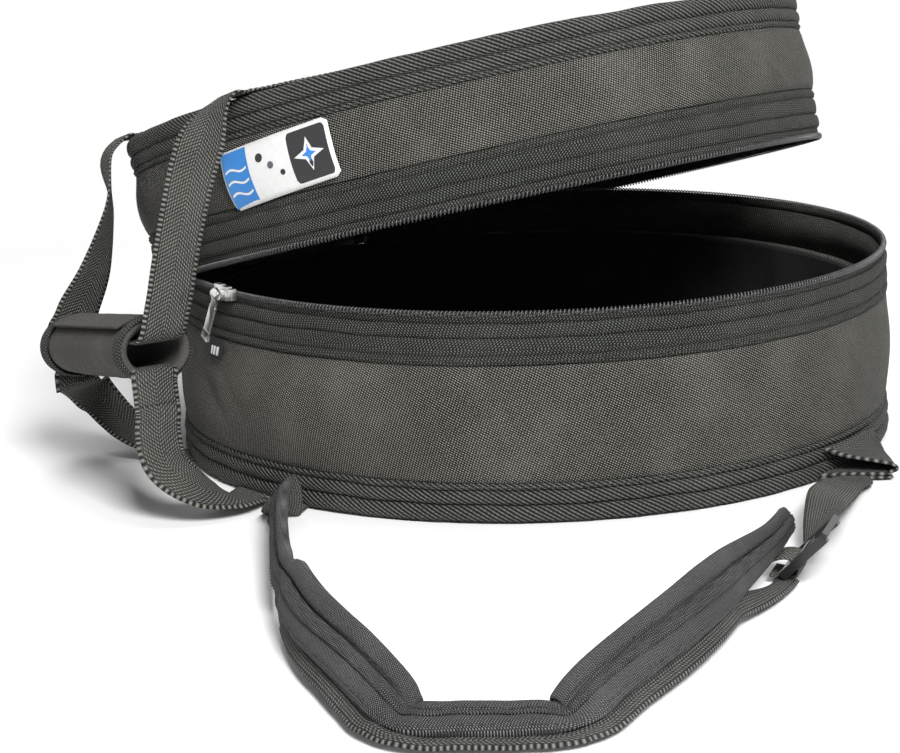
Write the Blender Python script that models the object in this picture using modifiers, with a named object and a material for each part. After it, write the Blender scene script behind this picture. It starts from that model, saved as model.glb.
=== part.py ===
"""Soft round drum bag in two zipped halves, lying open on its base. Metres, +Z up.

The base half stands on the floor with its centre at the origin. The lid half is hinged at
the back left by a narrow fabric panel, and is modelled where it would be when shut, then
swung open by the two folds of that panel.
"""
import math

import bmesh
import bpy
from mathutils import Matrix, Vector

# Sizes of the bag, in metres.
BASE_RADIUS = 0.200
BASE_HEIGHT = 0.108
LID_SETBACK = 0.006
LID_RADIUS = BASE_RADIUS - LID_SETBACK
LID_HEIGHT = 0.0825
WALL = 0.008
WALL_BULGE = 0.0025
LINING = 0.0012
FLOOR_PAD = 0.008
LID_PAD = 0.008
BINDING_HEIGHT = 0.020
BINDING_PROUD = 0.0015
RIM_BAND_HEIGHT = 0.021
RIM_BAND = 0.004
ZIP_BAND_HEIGHT = 0.006
ZIP_BAND = 0.0024
SEAM_GAP = 0.0003
SHUT_GAP = 0.001
AROUND = 72

# The soft hinge at the back left.
HINGE_AZIMUTH = math.radians(137.5)
HINGE_WIDTH = 0.096
HINGE_DROP = 0.0228
HINGE_INSET = 0.004
HINGE_PANEL = 0.0016
HINGE_NOTCH_SIDE = 0.005
WELT_RADIUS = 0.0020
LID_HINGE_INSET = 0.004
PANEL_LEAN = math.radians(125.0)
LID_TILT = math.radians(14.6)

# The zip slider and its pull.
ZIP_START = math.radians(217.5)
SLIDER_LENGTH = 0.017
SLIDER_HEIGHT = 0.009
SLIDER_DEPTH = 0.0045
SLIDER_OFF = 0.0006
PIN_RADIUS = 0.0011
PULL_LENGTH = 0.030
PULL_WIDTH = 0.0060
PULL_THICK = 0.0014
PULL_SLANT = math.radians(-20.0)
STOP_LENGTH = 0.007
STOP_HEIGHT = 0.005
STOP_DEPTH = 0.002

# Webbing of the carry handle.
WEB_WIDTH = 0.025
WEB_THICK = 0.0018
GRIP_LENGTH = 0.116
GRIP_WIDE = 0.019
GRIP_HIGH = 0.0155
GRIP_WALL = 0.0036
FLAP_THICK = 0.0016
TONGUE_LENGTH = 0.060
LID_TONGUE_LENGTH = 0.100
FRONT_GRIP_CLEAR = 0.0120
BACK_GRIP_CLEAR = 0.0015
HANDLE_TONGUE_BEYOND = 0.007
FRONT_EXIT = math.radians(222.0)
FRONT_HEADING = math.radians(72.0)
BACK_EXIT = math.radians(195.0)
BACK_HEADING = math.radians(-4.0)
LID_FRONT_EXIT = math.radians(233.0)
LID_BACK_EXIT = math.radians(193.0)
LID_HEADING = math.radians(33.0)
GRIP_AZIMUTH = math.radians(206.6)
GRIP_AWAY = 0.0493
GRIP_RISE = 0.077
GRIP_HEADING = math.radians(121.9)
GRIP_DIP = math.radians(8.45)

# The shoulder strap.
PAD_WIDTH = 0.025
PAD_THICK = 0.0075
EDGE_WIDTH = 0.011
EDGE_THICK = 0.0022
LOCK_WIDTH = 0.032
LOCK_THICK = 0.0042
LOCK_BAR = 0.0048
LOCK_SLOT = 0.0065
LOCK_AWAY = 0.0085
LOCK_RISE = math.radians(45.0)
LOOP_WIDTH = 0.020
TAB_AZIMUTH = math.radians(327.4)
TAB_WIDTH = 0.059
TAB_LENGTH = 0.036
TAB_THICK = 0.0036
TAB_EXIT_INWARDS = 0.0050
TAB_TONGUE_WIDTH = 0.046
STRAP_EXIT = math.radians(231.0)
STRAP_HEADING = math.radians(76.0)
STRAP_WEB_WIDTH = 0.020
STRAP_TONGUE_LENGTH = 0.050
STRAP_TONGUE_BEYOND = 0.012
FLOOR_CLEAR = 0.0004

# Small trim.
BADGE_WIDTH = 0.070
BADGE_HEIGHT = 0.031
BADGE_THICK = 0.0009
BADGE_AZIMUTH = math.radians(242.0)
TAG_WIDTH = 0.014
TAG_HEIGHT = 0.011
TAG_THICK = 0.0014
TAG_AZIMUTH = math.radians(214.0)

OUT = Vector((math.cos(HINGE_AZIMUTH), math.sin(HINGE_AZIMUTH), 0.0))
ALONG = Vector((-math.sin(HINGE_AZIMUTH), math.cos(HINGE_AZIMUTH), 0.0))
UP = Vector((0.0, 0.0, 1.0))

for old in list(bpy.data.objects):
    bpy.data.objects.remove(old)
bag = bpy.data.collections.new("snare_drum_bag")
cutters = bpy.data.collections.new("cutters")
bpy.context.scene.collection.children.link(bag)
bpy.context.scene.collection.children.link(cutters)


def material(name, colour, roughness, metallic=0.0):
    """A Principled material with the part's plain colour."""
    made = bpy.data.materials.new(name)
    made.use_nodes = True
    shader = made.node_tree.nodes["Principled BSDF"]
    shader.inputs["Base Color"].default_value = (*colour, 1.0)
    shader.inputs["Roughness"].default_value = roughness
    shader.inputs["Metallic"].default_value = metallic
    return made


TWILL = material("padded_twill", (0.030, 0.029, 0.028), 0.85)
TAPE = material("herringbone_tape", (0.022, 0.022, 0.022), 0.80)
WEBBING = material("ribbed_webbing", (0.026, 0.026, 0.026), 0.78)
LINING_CLOTH = material("smooth_lining", (0.012, 0.012, 0.012), 0.55)
COIL = material("zip_coil", (0.018, 0.018, 0.018), 0.35)
METAL = material("slider_metal", (0.62, 0.62, 0.60), 0.28, 1.0)
PLASTIC = material("buckle_plastic", (0.020, 0.020, 0.021), 0.38)
GRIP_CLOTH = material("grip_wrap", (0.040, 0.036, 0.034), 0.70)
LABEL = material("label_print", (0.75, 0.76, 0.76), 0.45)


def place(obj, surface, parent=None):
    """Put an object in the bag's collection with its own material."""
    bag.objects.link(obj)
    obj.data.materials.append(surface.copy())
    obj.data.shade_smooth()
    obj.data.set_sharp_from_angle(angle=math.radians(35.0))
    if parent is not None:
        obj.parent = parent
    return obj


def pivot(name, matrix, parent=None):
    """An empty on a joint's axis, which its body's pieces hang from."""
    empty = bpy.data.objects.new(name, None)
    bag.objects.link(empty)
    empty.empty_display_size = WEB_WIDTH
    if parent is not None:
        empty.parent = parent
        empty.matrix_basis = parent_world[parent.name].inverted() @ matrix
    else:
        empty.matrix_basis = matrix
    parent_world[name] = matrix
    return empty


def hang(obj, body):
    """Hang a piece modelled in world places from a body's pivot."""
    obj.parent = body
    obj.matrix_basis = parent_world[body.name].inverted() @ obj.matrix_basis
    return obj


parent_world = {}


def ring_at(azimuth, radius, height):
    """The point at an azimuth, radius and height about the bag's axis."""
    return Vector((radius * math.cos(azimuth), radius * math.sin(azimuth), height))


def turned(name, profile, surface):
    """A full ring or disc from a profile of (radius, height), outer side first, run downwards."""
    mesh = bpy.data.meshes.new(name)
    shape = bmesh.new()
    points = [shape.verts.new((radius, 0.0, height)) for radius, height in profile]
    for first, second in zip(points, points[1:]):
        shape.edges.new((first, second))
    if profile[0][0] > 0.0:
        shape.edges.new((points[-1], points[0]))
    shape.to_mesh(mesh)
    shape.free()
    obj = place(bpy.data.objects.new(name, mesh), surface)
    screw = obj.modifiers.new("Turn", "SCREW")
    screw.steps = AROUND
    screw.render_steps = AROUND
    screw.use_merge_vertices = True
    screw.merge_threshold = 0.00001
    screw.use_smooth_shade = False
    return obj


def swept_ring(name, profile, start, end, surface):
    """Part of a ring between two azimuths, with closed ends."""
    mesh = bpy.data.meshes.new(name)
    shape = bmesh.new()
    points = [shape.verts.new((radius, 0.0, height)) for radius, height in profile]
    face = shape.faces.new(points)
    bmesh.ops.rotate(shape, verts=points, cent=(0.0, 0.0, 0.0), matrix=Matrix.Rotation(start, 3, "Z"))
    steps = max(2, round(AROUND * (end - start) / math.tau))
    bmesh.ops.spin(shape, geom=[face, *face.edges, *face.verts], axis=UP, cent=(0.0, 0.0, 0.0),
                   angle=end - start, steps=steps, use_duplicate=False)
    bmesh.ops.recalc_face_normals(shape, faces=shape.faces)
    shape.to_mesh(mesh)
    shape.free()
    return place(bpy.data.objects.new(name, mesh), surface)


def block(name, size, surface, matrix, bevel=0.0):
    """A box of the given size, set by a matrix, with its edges eased."""
    mesh = bpy.data.meshes.new(name)
    shape = bmesh.new()
    bmesh.ops.create_cube(shape, size=1.0)
    bmesh.ops.scale(shape, vec=size, verts=shape.verts)
    shape.to_mesh(mesh)
    shape.free()
    obj = place(bpy.data.objects.new(name, mesh), surface)
    obj.matrix_basis = matrix
    if bevel > 0.0:
        ease = obj.modifiers.new("Ease", "BEVEL")
        ease.width = bevel
        ease.segments = 2
    return obj


def rod(name, radius, length, surface, matrix, sides=16, flatten=1.0):
    """A round or oval bar along its own Z, set by a matrix."""
    mesh = bpy.data.meshes.new(name)
    shape = bmesh.new()
    bmesh.ops.create_cone(shape, cap_ends=True, segments=sides, radius1=radius, radius2=radius, depth=length)
    bmesh.ops.scale(shape, vec=(1.0, flatten, 1.0), verts=shape.verts)
    shape.to_mesh(mesh)
    shape.free()
    obj = place(bpy.data.objects.new(name, mesh), surface)
    obj.matrix_basis = matrix
    return obj


def smooth(points, steps):
    """A Catmull-Rom curve through the points, with so many steps a span."""
    padded = [2.0 * points[0] - points[1], *points, 2.0 * points[-1] - points[-2]]
    curve = []
    for index in range(1, len(padded) - 2):
        before, first, second, after = padded[index - 1:index + 3]
        for step in range(steps):
            t = step / steps
            curve.append(0.5 * (2.0 * first + (second - before) * t
                                + (2.0 * before - 5.0 * first + 4.0 * second - after) * t * t
                                + (3.0 * first - before - 3.0 * second + after) * t ** 3))
    curve.append(points[-1].copy())
    return curve


def ribbon(name, route, across, width, thick, surface, bevel=0.0):
    """A flat strip along a route, with its width along the vectors in across, made thick."""
    mesh = bpy.data.meshes.new(name)
    shape = bmesh.new()
    rows = []
    for index, point in enumerate(route):
        ahead = route[min(index + 1, len(route) - 1)] - route[max(index - 1, 0)]
        side = across[index] - ahead.normalized() * across[index].dot(ahead.normalized())
        side = side.normalized() * width / 2.0
        rows.append((shape.verts.new(point - side), shape.verts.new(point + side)))
    for first, second in zip(rows, rows[1:]):
        shape.faces.new((first[0], first[1], second[1], second[0]))
    shape.to_mesh(mesh)
    shape.free()
    obj = place(bpy.data.objects.new(name, mesh), surface)
    body = obj.modifiers.new("Thickness", "SOLIDIFY")
    body.thickness = thick
    body.offset = 0.0
    if bevel > 0.0:
        ease = obj.modifiers.new("Ease", "BEVEL")
        ease.width = bevel
        ease.segments = 2
        ease.limit_method = "ANGLE"
    return obj


def banded(name, route, across, width, thick, surface, steps, body=None):
    """A webbing strip through a few points, each with its width's direction."""
    fine = smooth(route, steps)
    turns = smooth(across, steps)
    strip = ribbon(name, fine, turns, width, thick, surface)
    return hang(strip, body) if body else strip


def cut(obj, cutter):
    """Take a cutter's shape out of an object."""
    bag.objects.unlink(cutter)
    cutters.objects.link(cutter)
    cutter.hide_render = True
    cutter.display_type = "WIRE"
    difference = obj.modifiers.new("Cut", "BOOLEAN")
    difference.operation = "DIFFERENCE"
    difference.solver = "EXACT"
    difference.object = cutter


def look_out(azimuth, centre):
    """A frame at a point with X outwards, Y along the wall and Z up."""
    turn = Matrix.Rotation(azimuth, 4, "Z")
    return Matrix.Translation(centre) @ turn


# Heights that several pieces share.
wall_inside = BASE_RADIUS - WALL
zip_bottom = BASE_HEIGHT - ZIP_BAND_HEIGHT
band_bottom = zip_bottom - SEAM_GAP - RIM_BAND_HEIGHT
wall_top = band_bottom - SEAM_GAP
wall_bottom = BINDING_HEIGHT + SEAM_GAP
lid_floor = BASE_HEIGHT + SHUT_GAP
lid_top = lid_floor + LID_HEIGHT
lid_band_bottom = lid_floor + ZIP_BAND_HEIGHT + SEAM_GAP
lid_wall_bottom = lid_band_bottom + RIM_BAND_HEIGHT + SEAM_GAP
lid_wall_top = lid_top - BINDING_HEIGHT - SEAM_GAP
lid_inside = LID_RADIUS - WALL


def bulged(outer, inner, top, bottom):
    """A padded wall's section: the outer side swells in the middle."""
    middle = (top + bottom) / 2.0
    return [(outer, top), (outer + WALL_BULGE, middle), (outer, bottom), (inner, bottom), (inner, top)]


def taped(outer, inner, top, bottom):
    """A doubled tape's section: two ridges with a groove between them."""
    groove = (top + bottom) / 2.0
    return [(outer, top), (outer, groove + BINDING_PROUD), (outer - BINDING_PROUD, groove),
            (outer, groove - BINDING_PROUD), (outer, bottom), (inner, bottom), (inner, top)]


# The base half.
floor_panel = turned("base_floor_panel", [(0.0, FLOOR_PAD), (wall_inside - SEAM_GAP, FLOOR_PAD),
                                          (wall_inside - SEAM_GAP, 0.0), (0.0, 0.0)], TWILL)
turned("base_side_wall", bulged(BASE_RADIUS, wall_inside, wall_top, wall_bottom), TWILL)
floor_binding = turned("base_floor_binding",
                       taped(BASE_RADIUS + BINDING_PROUD, wall_inside, BINDING_HEIGHT, 0.0), TAPE)
lining_outside = wall_inside - SEAM_GAP
lining_bottom = FLOOR_PAD + SEAM_GAP
turned("base_lining", [(0.0, lining_bottom + LINING), (lining_outside - LINING, lining_bottom + LINING),
                       (lining_outside - LINING, wall_top), (lining_outside, wall_top),
                       (lining_outside, lining_bottom), (0.0, lining_bottom)], LINING_CLOTH)
notch = math.asin((HINGE_WIDTH / 2.0 + HINGE_NOTCH_SIDE) / BASE_RADIUS)
notch_end = HINGE_AZIMUTH + notch
notch_start = HINGE_AZIMUTH - notch + math.tau
swept_ring("base_rim_band", taped(BASE_RADIUS, BASE_RADIUS - RIM_BAND, zip_bottom - SEAM_GAP, band_bottom),
           notch_end, notch_start, TAPE)
zip_outside = BASE_RADIUS - (RIM_BAND - ZIP_BAND) / 2.0
swept_ring("base_zip_tape", [(zip_outside, BASE_HEIGHT), (zip_outside, zip_bottom),
                             (zip_outside - ZIP_BAND, zip_bottom), (zip_outside - ZIP_BAND, BASE_HEIGHT)],
           notch_end, notch_start, COIL)

tag_rise = wall_top - TAG_HEIGHT / 2.0
tag_lean = math.atan2(WALL_BULGE, (wall_top - wall_bottom) / 2.0)
tag_out = BASE_RADIUS + TAG_HEIGHT / 2.0 * math.tan(tag_lean) + SEAM_GAP + TAG_THICK / 2.0
block("side_tag", (TAG_THICK, TAG_WIDTH, TAG_HEIGHT), LABEL,
      look_out(TAG_AZIMUTH, ring_at(TAG_AZIMUTH, tag_out, tag_rise)) @ Matrix.Rotation(-tag_lean, 4, "Y"),
      TAG_THICK / 4.0)
stop_azimuth = ZIP_START - (SLIDER_LENGTH + STOP_LENGTH) / 2.0 / BASE_RADIUS - SLIDER_OFF / BASE_RADIUS
stop_out = BASE_RADIUS + SEAM_GAP + STOP_DEPTH / 2.0
block("zip_bottom_stop", (STOP_DEPTH, STOP_LENGTH, STOP_HEIGHT), METAL,
      look_out(stop_azimuth, ring_at(stop_azimuth, stop_out, BASE_HEIGHT - STOP_HEIGHT)), STOP_DEPTH / 4.0)


def tongue(name, azimuth, heading, width, length, beyond):
    """A webbing end sewn flat under the floor panel, in a shallow bed pressed into it."""
    bed = WEB_THICK + 2.0 * FLOOR_CLEAR
    inwards = Vector((math.cos(heading), math.sin(heading), 0.0))
    middle = ring_at(azimuth, base_edge, 0.0) + inwards * (length / 2.0 - beyond)
    turn = Matrix.Rotation(heading, 4, "Z")
    centre = middle + UP * (FLOOR_CLEAR + WEB_THICK / 2.0)
    strip = block(name, (length, width, WEB_THICK), WEBBING, Matrix.Translation(centre) @ turn)
    for carrier in (floor_panel, floor_binding):
        hollow = block(name + "_bed_" + carrier.name, (length + 2.0 * bed, width + 2.0 * SEAM_GAP, 2.0 * bed),
                       WEBBING, Matrix.Translation(middle) @ turn)
        cut(carrier, hollow)
    return strip


base_edge = BASE_RADIUS + BINDING_PROUD
tongue("front_handle_tongue", FRONT_EXIT, FRONT_HEADING, WEB_WIDTH, TONGUE_LENGTH, HANDLE_TONGUE_BEYOND)
tongue("back_handle_tongue", BACK_EXIT, BACK_HEADING, WEB_WIDTH, TONGUE_LENGTH, HANDLE_TONGUE_BEYOND)
tongue("strap_left_tongue", STRAP_EXIT, STRAP_HEADING, STRAP_WEB_WIDTH, STRAP_TONGUE_LENGTH, STRAP_TONGUE_BEYOND)
tongue("strap_right_tongue", TAB_AZIMUTH, TAB_AZIMUTH - math.pi, TAB_TONGUE_WIDTH, STRAP_TONGUE_LENGTH, -WEB_THICK)
tab_middle = ring_at(TAB_AZIMUTH, BASE_RADIUS, FLOOR_CLEAR + TAB_THICK / 2.0)
anchor_tab = block("strap_anchor_tab", (TAB_LENGTH, TAB_WIDTH, TAB_THICK), WEBBING,
                   Matrix.Translation(tab_middle))
cut(anchor_tab, rod("tab_bag_edge", base_edge + SEAM_GAP, BINDING_HEIGHT, WEBBING, Matrix(), AROUND))

# The soft hinge: a panel that folds off the base, and the welt that its top edge is sewn into.
low_fold = OUT * (BASE_RADIUS - HINGE_INSET) + UP * (BASE_HEIGHT - HINGE_DROP)
welt_drop = WELT_RADIUS + SEAM_GAP
high_fold_shut = OUT * (LID_RADIUS - LID_HINGE_INSET) + UP * (lid_floor - welt_drop)
panel_shut = high_fold_shut - low_fold
panel_length = panel_shut.length
high_fold = low_fold + panel_length * (math.sin(PANEL_LEAN) * OUT + math.cos(PANEL_LEAN) * UP)
lean_shut = math.atan2(panel_shut.dot(OUT), panel_shut.dot(UP))
lean_turn = Matrix.Rotation(PANEL_LEAN, 4, ALONG)
lid_turn = Matrix.Rotation(LID_TILT, 4, ALONG)
lid_open = Matrix.Translation(high_fold) @ lid_turn @ Matrix.Translation(-high_fold_shut)
print("hinge panel length", round(panel_length, 5), "lean when shut", round(math.degrees(lean_shut), 3))
print("low fold", [round(value, 6) for value in low_fold], "high fold", [round(value, 6) for value in high_fold])

spine = pivot("hinge_panel_axis", Matrix.Translation(low_fold) @ lean_turn)
panel_run = panel_length - WELT_RADIUS - 2.0 * SEAM_GAP
panel_middle = low_fold + lean_turn.to_3x3() @ (UP * panel_run / 2.0)
panel_frame = Matrix.Translation(panel_middle) @ lean_turn @ Matrix.Rotation(HINGE_AZIMUTH, 4, "Z")
hang(block("hinge_panel", (HINGE_PANEL, HINGE_WIDTH, panel_run), TWILL, panel_frame, HINGE_PANEL / 4.0), spine)
welt_axis = pivot("hinge_welt_axis", Matrix.Translation(high_fold) @ lid_turn, spine)
lay_down = Matrix.Rotation(HINGE_AZIMUTH, 4, "Z") @ Matrix.Rotation(math.radians(90.0), 4, "X")
hang(rod("hinge_welt", WELT_RADIUS, HINGE_WIDTH, TAPE, Matrix.Translation(high_fold) @ lay_down, 12), welt_axis)

# The lid half, modelled shut and carried open by its hinge.
lid = pivot("lid_hinge_axis", Matrix.Translation(high_fold) @ lid_turn, welt_axis)


def on_lid(obj):
    """Carry a piece that is modelled with the lid shut to where the open lid holds it."""
    obj.matrix_basis = lid_open @ obj.matrix_basis
    return hang(obj, lid)


on_lid(turned("lid_top_panel", [(0.0, lid_top), (lid_inside - SEAM_GAP, lid_top),
                                (lid_inside - SEAM_GAP, lid_top - LID_PAD), (0.0, lid_top - LID_PAD)], TWILL))
on_lid(turned("lid_side_wall", bulged(LID_RADIUS, lid_inside, lid_wall_top, lid_wall_bottom), TWILL))
on_lid(turned("lid_top_binding", taped(LID_RADIUS + BINDING_PROUD, lid_inside, lid_top,
                                       lid_top - BINDING_HEIGHT), TAPE))
on_lid(turned("lid_rim_band", taped(LID_RADIUS, LID_RADIUS - RIM_BAND, lid_wall_bottom - SEAM_GAP,
                                    lid_band_bottom), TAPE))
lid_zip_outside = LID_RADIUS - (RIM_BAND - ZIP_BAND) / 2.0
on_lid(swept_ring("lid_zip_tape", [(lid_zip_outside, lid_band_bottom - SEAM_GAP), (lid_zip_outside, lid_floor),
                                   (lid_zip_outside - ZIP_BAND, lid_floor),
                                   (lid_zip_outside - ZIP_BAND, lid_band_bottom - SEAM_GAP)],
                  notch_end, notch_start, COIL))
seam_frame = Matrix.Translation(OUT * (LID_RADIUS - LID_HINGE_INSET))
seam_rise = lid_band_bottom - high_fold_shut.z - WELT_RADIUS - 2.0 * SEAM_GAP
seam_frame = seam_frame @ Matrix.Translation(UP * (lid_band_bottom - SEAM_GAP - seam_rise / 2.0))
on_lid(block("lid_hinge_seam", (HINGE_PANEL, HINGE_WIDTH, seam_rise), TAPE,
             seam_frame @ Matrix.Rotation(HINGE_AZIMUTH, 4, "Z")))
lid_lining_top = lid_top - LID_PAD - SEAM_GAP
lid_lining_outside = lid_inside - SEAM_GAP
on_lid(turned("lid_lining", [(0.0, lid_lining_top), (lid_lining_outside, lid_lining_top),
                             (lid_lining_outside, lid_wall_bottom),
                             (lid_lining_outside - LINING, lid_wall_bottom),
                             (lid_lining_outside - LINING, lid_lining_top - LINING),
                             (0.0, lid_lining_top - LINING)], LINING_CLOTH))

BADGE_STEPS = 8
badge_rise = (lid_wall_top + lid_wall_bottom) / 2.0 + BADGE_HEIGHT * 0.12
badge_radius = LID_RADIUS + WALL_BULGE + SEAM_GAP + BADGE_THICK / 2.0
badge_half = BADGE_WIDTH / 2.0 / LID_RADIUS
badge_azimuths = [BADGE_AZIMUTH + badge_half * (2.0 * step / BADGE_STEPS - 1.0) for step in range(BADGE_STEPS + 1)]
on_lid(ribbon("lid_badge", [ring_at(azimuth, badge_radius, badge_rise) for azimuth in badge_azimuths],
              [UP] * len(badge_azimuths), BADGE_HEIGHT, BADGE_THICK, LABEL))

# The carry handle: two webbing bands hang from the lid's top edge and end inside the grip's bore.
grip_middle = ring_at(GRIP_AZIMUTH, BASE_RADIUS + GRIP_AWAY, GRIP_RISE)
grip_along = Vector((math.cos(GRIP_HEADING) * math.cos(GRIP_DIP), math.sin(GRIP_HEADING) * math.cos(GRIP_DIP),
                     -math.sin(GRIP_DIP)))
grip_in = grip_along.cross(UP).normalized()
grip_up = grip_in.cross(grip_along)
mouths = {"front": grip_middle - grip_along * GRIP_LENGTH / 2.0, "back": grip_middle + grip_along * GRIP_LENGTH / 2.0}
into_grip = {"front": grip_along, "back": -grip_along}
lid_inwards = Vector((math.cos(LID_HEADING), math.sin(LID_HEADING), 0.0))
web_level = SEAM_GAP + WEB_THICK / 2.0
lid_edge = LID_RADIUS - BINDING_PROUD
swing_gap = 2.0 * SEAM_GAP
lid_exits = {}
for label, exit_azimuth in (("front", LID_FRONT_EXIT), ("back", LID_BACK_EXIT)):
    edge = ring_at(exit_azimuth, lid_edge, lid_top + web_level)
    frame = Matrix.Translation(edge + lid_inwards * LID_TONGUE_LENGTH / 2.0) @ Matrix.Rotation(LID_HEADING, 4, "Z")
    on_lid(block(label + "_lid_tongue", (LID_TONGUE_LENGTH, WEB_WIDTH, WEB_THICK), WEBBING, frame))
    lid_exits[label] = lid_open @ (edge - lid_inwards * swing_gap)
swing = (lid_exits["back"] - lid_exits["front"]).normalized()
lid_normal = lid_turn.to_3x3() @ UP
swing_frame = Matrix.Translation((lid_exits["front"] + lid_exits["back"] + lid_normal * WEB_THICK) / 2.0)
carry = pivot("carry_loop_axis", swing_frame, lid)
lid_out = -(lid_turn.to_3x3() @ lid_inwards)
lid_across = lid_turn.to_3x3() @ Vector((-math.sin(LID_HEADING), math.cos(LID_HEADING), 0.0))

# Each row: share of the way from the lid's edge to the grip, then how far out and how far along the grip.
CARRY_FRONT_SHARES = ((0.0, 0.0, 0.0, 0.0), (0.0, 0.055, 0.0, 0.0), (0.09, 0.11, 0.01, 0.35),
                      (0.30, 0.085, 0.01, 0.85), (0.62, 0.02, -0.05, 1.0), (0.85, 0.0, -0.09, 1.0))
CARRY_BACK_SHARES = ((0.0, 0.0, 0.0, 0.0), (0.0, 0.055, 0.0, 0.0), (0.09, 0.11, -0.01, 0.2),
                     (0.34, 0.10, 0.03, 0.6), (0.66, 0.06, 0.07, 0.9), (0.88, 0.02, 0.10, 1.0))
bore_high = GRIP_HIGH - GRIP_WALL
for label, shares, facing in (("front", CARRY_FRONT_SHARES, -1.0), ("back", CARRY_BACK_SHARES, 1.0)):
    start = lid_exits[label]
    inside = into_grip[label]
    mouth = mouths[label] + grip_up * bore_high / 2.0
    reach = (mouth - start).length
    route = [start + (mouth - start) * way + lid_out * out * reach + grip_along * along * reach
             for way, out, along, turn in shares]
    route += [mouth - inside * bore_high / 2.0, mouth + inside * bore_high]
    end_across = grip_in * facing
    across = [lid_across.lerp(end_across, turn) for way, out, along, turn in shares] + [end_across, end_across]
    banded(label + "_carry_webbing", route, across, WEB_WIDTH, WEB_THICK, WEBBING, 4, carry)

grip_turn = Matrix((grip_in, grip_up, -grip_along)).transposed().to_4x4()
grip_frame = Matrix.Translation(grip_middle) @ grip_turn
grip = hang(rod("grip_wrap", GRIP_WIDE, GRIP_LENGTH, GRIP_CLOTH, grip_frame, 28, GRIP_HIGH / GRIP_WIDE), carry)
bore_wide = GRIP_WIDE - GRIP_WALL
cut(grip, rod("grip_bore", bore_wide, GRIP_LENGTH * 2.0, GRIP_CLOTH, grip_frame, 28, bore_high / bore_wide))

FLAP_ARC_SHARES = (0.14, 0.20, 0.26, 0.32, 0.38)
flap_off = SEAM_GAP + FLAP_THICK / 2.0
flap_route = [grip_middle + grip_in * math.cos(share * math.tau) * (GRIP_WIDE + flap_off)
              + grip_up * math.sin(share * math.tau) * (GRIP_HIGH + flap_off) for share in FLAP_ARC_SHARES]
flap_axis = pivot("grip_flap_axis", Matrix.Translation(flap_route[0]), carry)
hang(ribbon("grip_flap", smooth(flap_route, 2), [grip_along] * (2 * len(flap_route) - 1),
            GRIP_LENGTH - 2.0 * WEB_THICK - 2.0 * FLAP_THICK, FLAP_THICK, GRIP_CLOTH), flap_axis)

# The lower handle bands come from under the base and end just below the grip.
base_out = {"front": -Vector((math.cos(FRONT_HEADING), math.sin(FRONT_HEADING), 0.0)),
            "back": -Vector((math.cos(BACK_HEADING), math.sin(BACK_HEADING), 0.0))}
beyond = HANDLE_TONGUE_BEYOND + WEB_THICK / 2.0
floor_level = FLOOR_CLEAR + WEB_THICK / 2.0
base_exits = {"front": ring_at(FRONT_EXIT, base_edge, floor_level) + base_out["front"] * beyond,
              "back": ring_at(BACK_EXIT, base_edge, floor_level) + base_out["back"] * beyond}
base_swing = (base_exits["back"] - base_exits["front"]).normalized()
base_middle = (base_exits["front"] + base_exits["back"] - UP * WEB_THICK) / 2.0
base_loop = pivot("base_loop_axis", Matrix.Translation(base_middle))
# Each row: place as shares of the base's radius from its centre, then the width's direction.
BASE_FRONT_SHARES = ((-0.765, -0.782, 0.024, (-0.90, 0.44, 0.05)), (-0.802, -0.848, 0.050, (-0.55, 0.75, 0.35)),
                     (-0.865, -0.887, 0.084, (-0.05, 0.80, 0.60)), (-0.925, -0.893, 0.140, (0.45, 0.70, 0.55)),
                     (-0.958, -0.880, 0.225, (0.80, 0.55, 0.20)))
BASE_BACK_SHARES = ((-1.050, -0.256, 0.024, (0.05, 0.98, 0.05)), (-1.120, -0.230, 0.060, (0.15, 0.90, 0.35)),
                    (-1.190, -0.190, 0.110, (0.45, 0.80, 0.40)), (-1.250, -0.185, 0.180, (0.75, 0.60, 0.20)))
for label, shares, clear in (("front", BASE_FRONT_SHARES, FRONT_GRIP_CLEAR),
                             ("back", BASE_BACK_SHARES, BACK_GRIP_CLEAR)):
    inside = into_grip[label]
    under_grip = mouths[label] - grip_up * (GRIP_HIGH + clear + WEB_THICK / 2.0)
    route = [base_exits[label], base_exits[label] + base_out[label] * WEB_THICK * 3.0]
    route += [Vector((x, y, z)) * BASE_RADIUS for x, y, z, side in shares]
    route += [under_grip - grip_up * bore_high / 2.0 - inside * bore_high / 4.0, under_grip + inside * bore_high]
    across = [base_out[label].cross(UP)] * 2 + [Vector(side) for x, y, z, side in shares] + [grip_in, grip_in]
    banded(label + "_base_webbing", route, across, WEB_WIDTH, WEB_THICK, WEBBING, 4, base_loop)

# The shoulder strap lies on the floor in a U, standing on its edge at both legs.
strap_start = ring_at(STRAP_EXIT, base_edge, 0.0)
strap_start -= Vector((math.cos(STRAP_HEADING), math.sin(STRAP_HEADING), 0.0)) * (STRAP_TONGUE_BEYOND + WEB_THICK)
anchor_start = tab_middle - Vector((TAB_EXIT_INWARDS, TAB_WIDTH / 2.0 + swing_gap + SEAM_GAP, 0.0))
start_level = Vector((strap_start.x, strap_start.y, floor_level))
strap_axis = (start_level - anchor_start).normalized()
strap_middle = (start_level + anchor_start + UP * WEB_THICK) / 2.0
strap = pivot("shoulder_strap_axis", Matrix.Translation(strap_middle))
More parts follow.
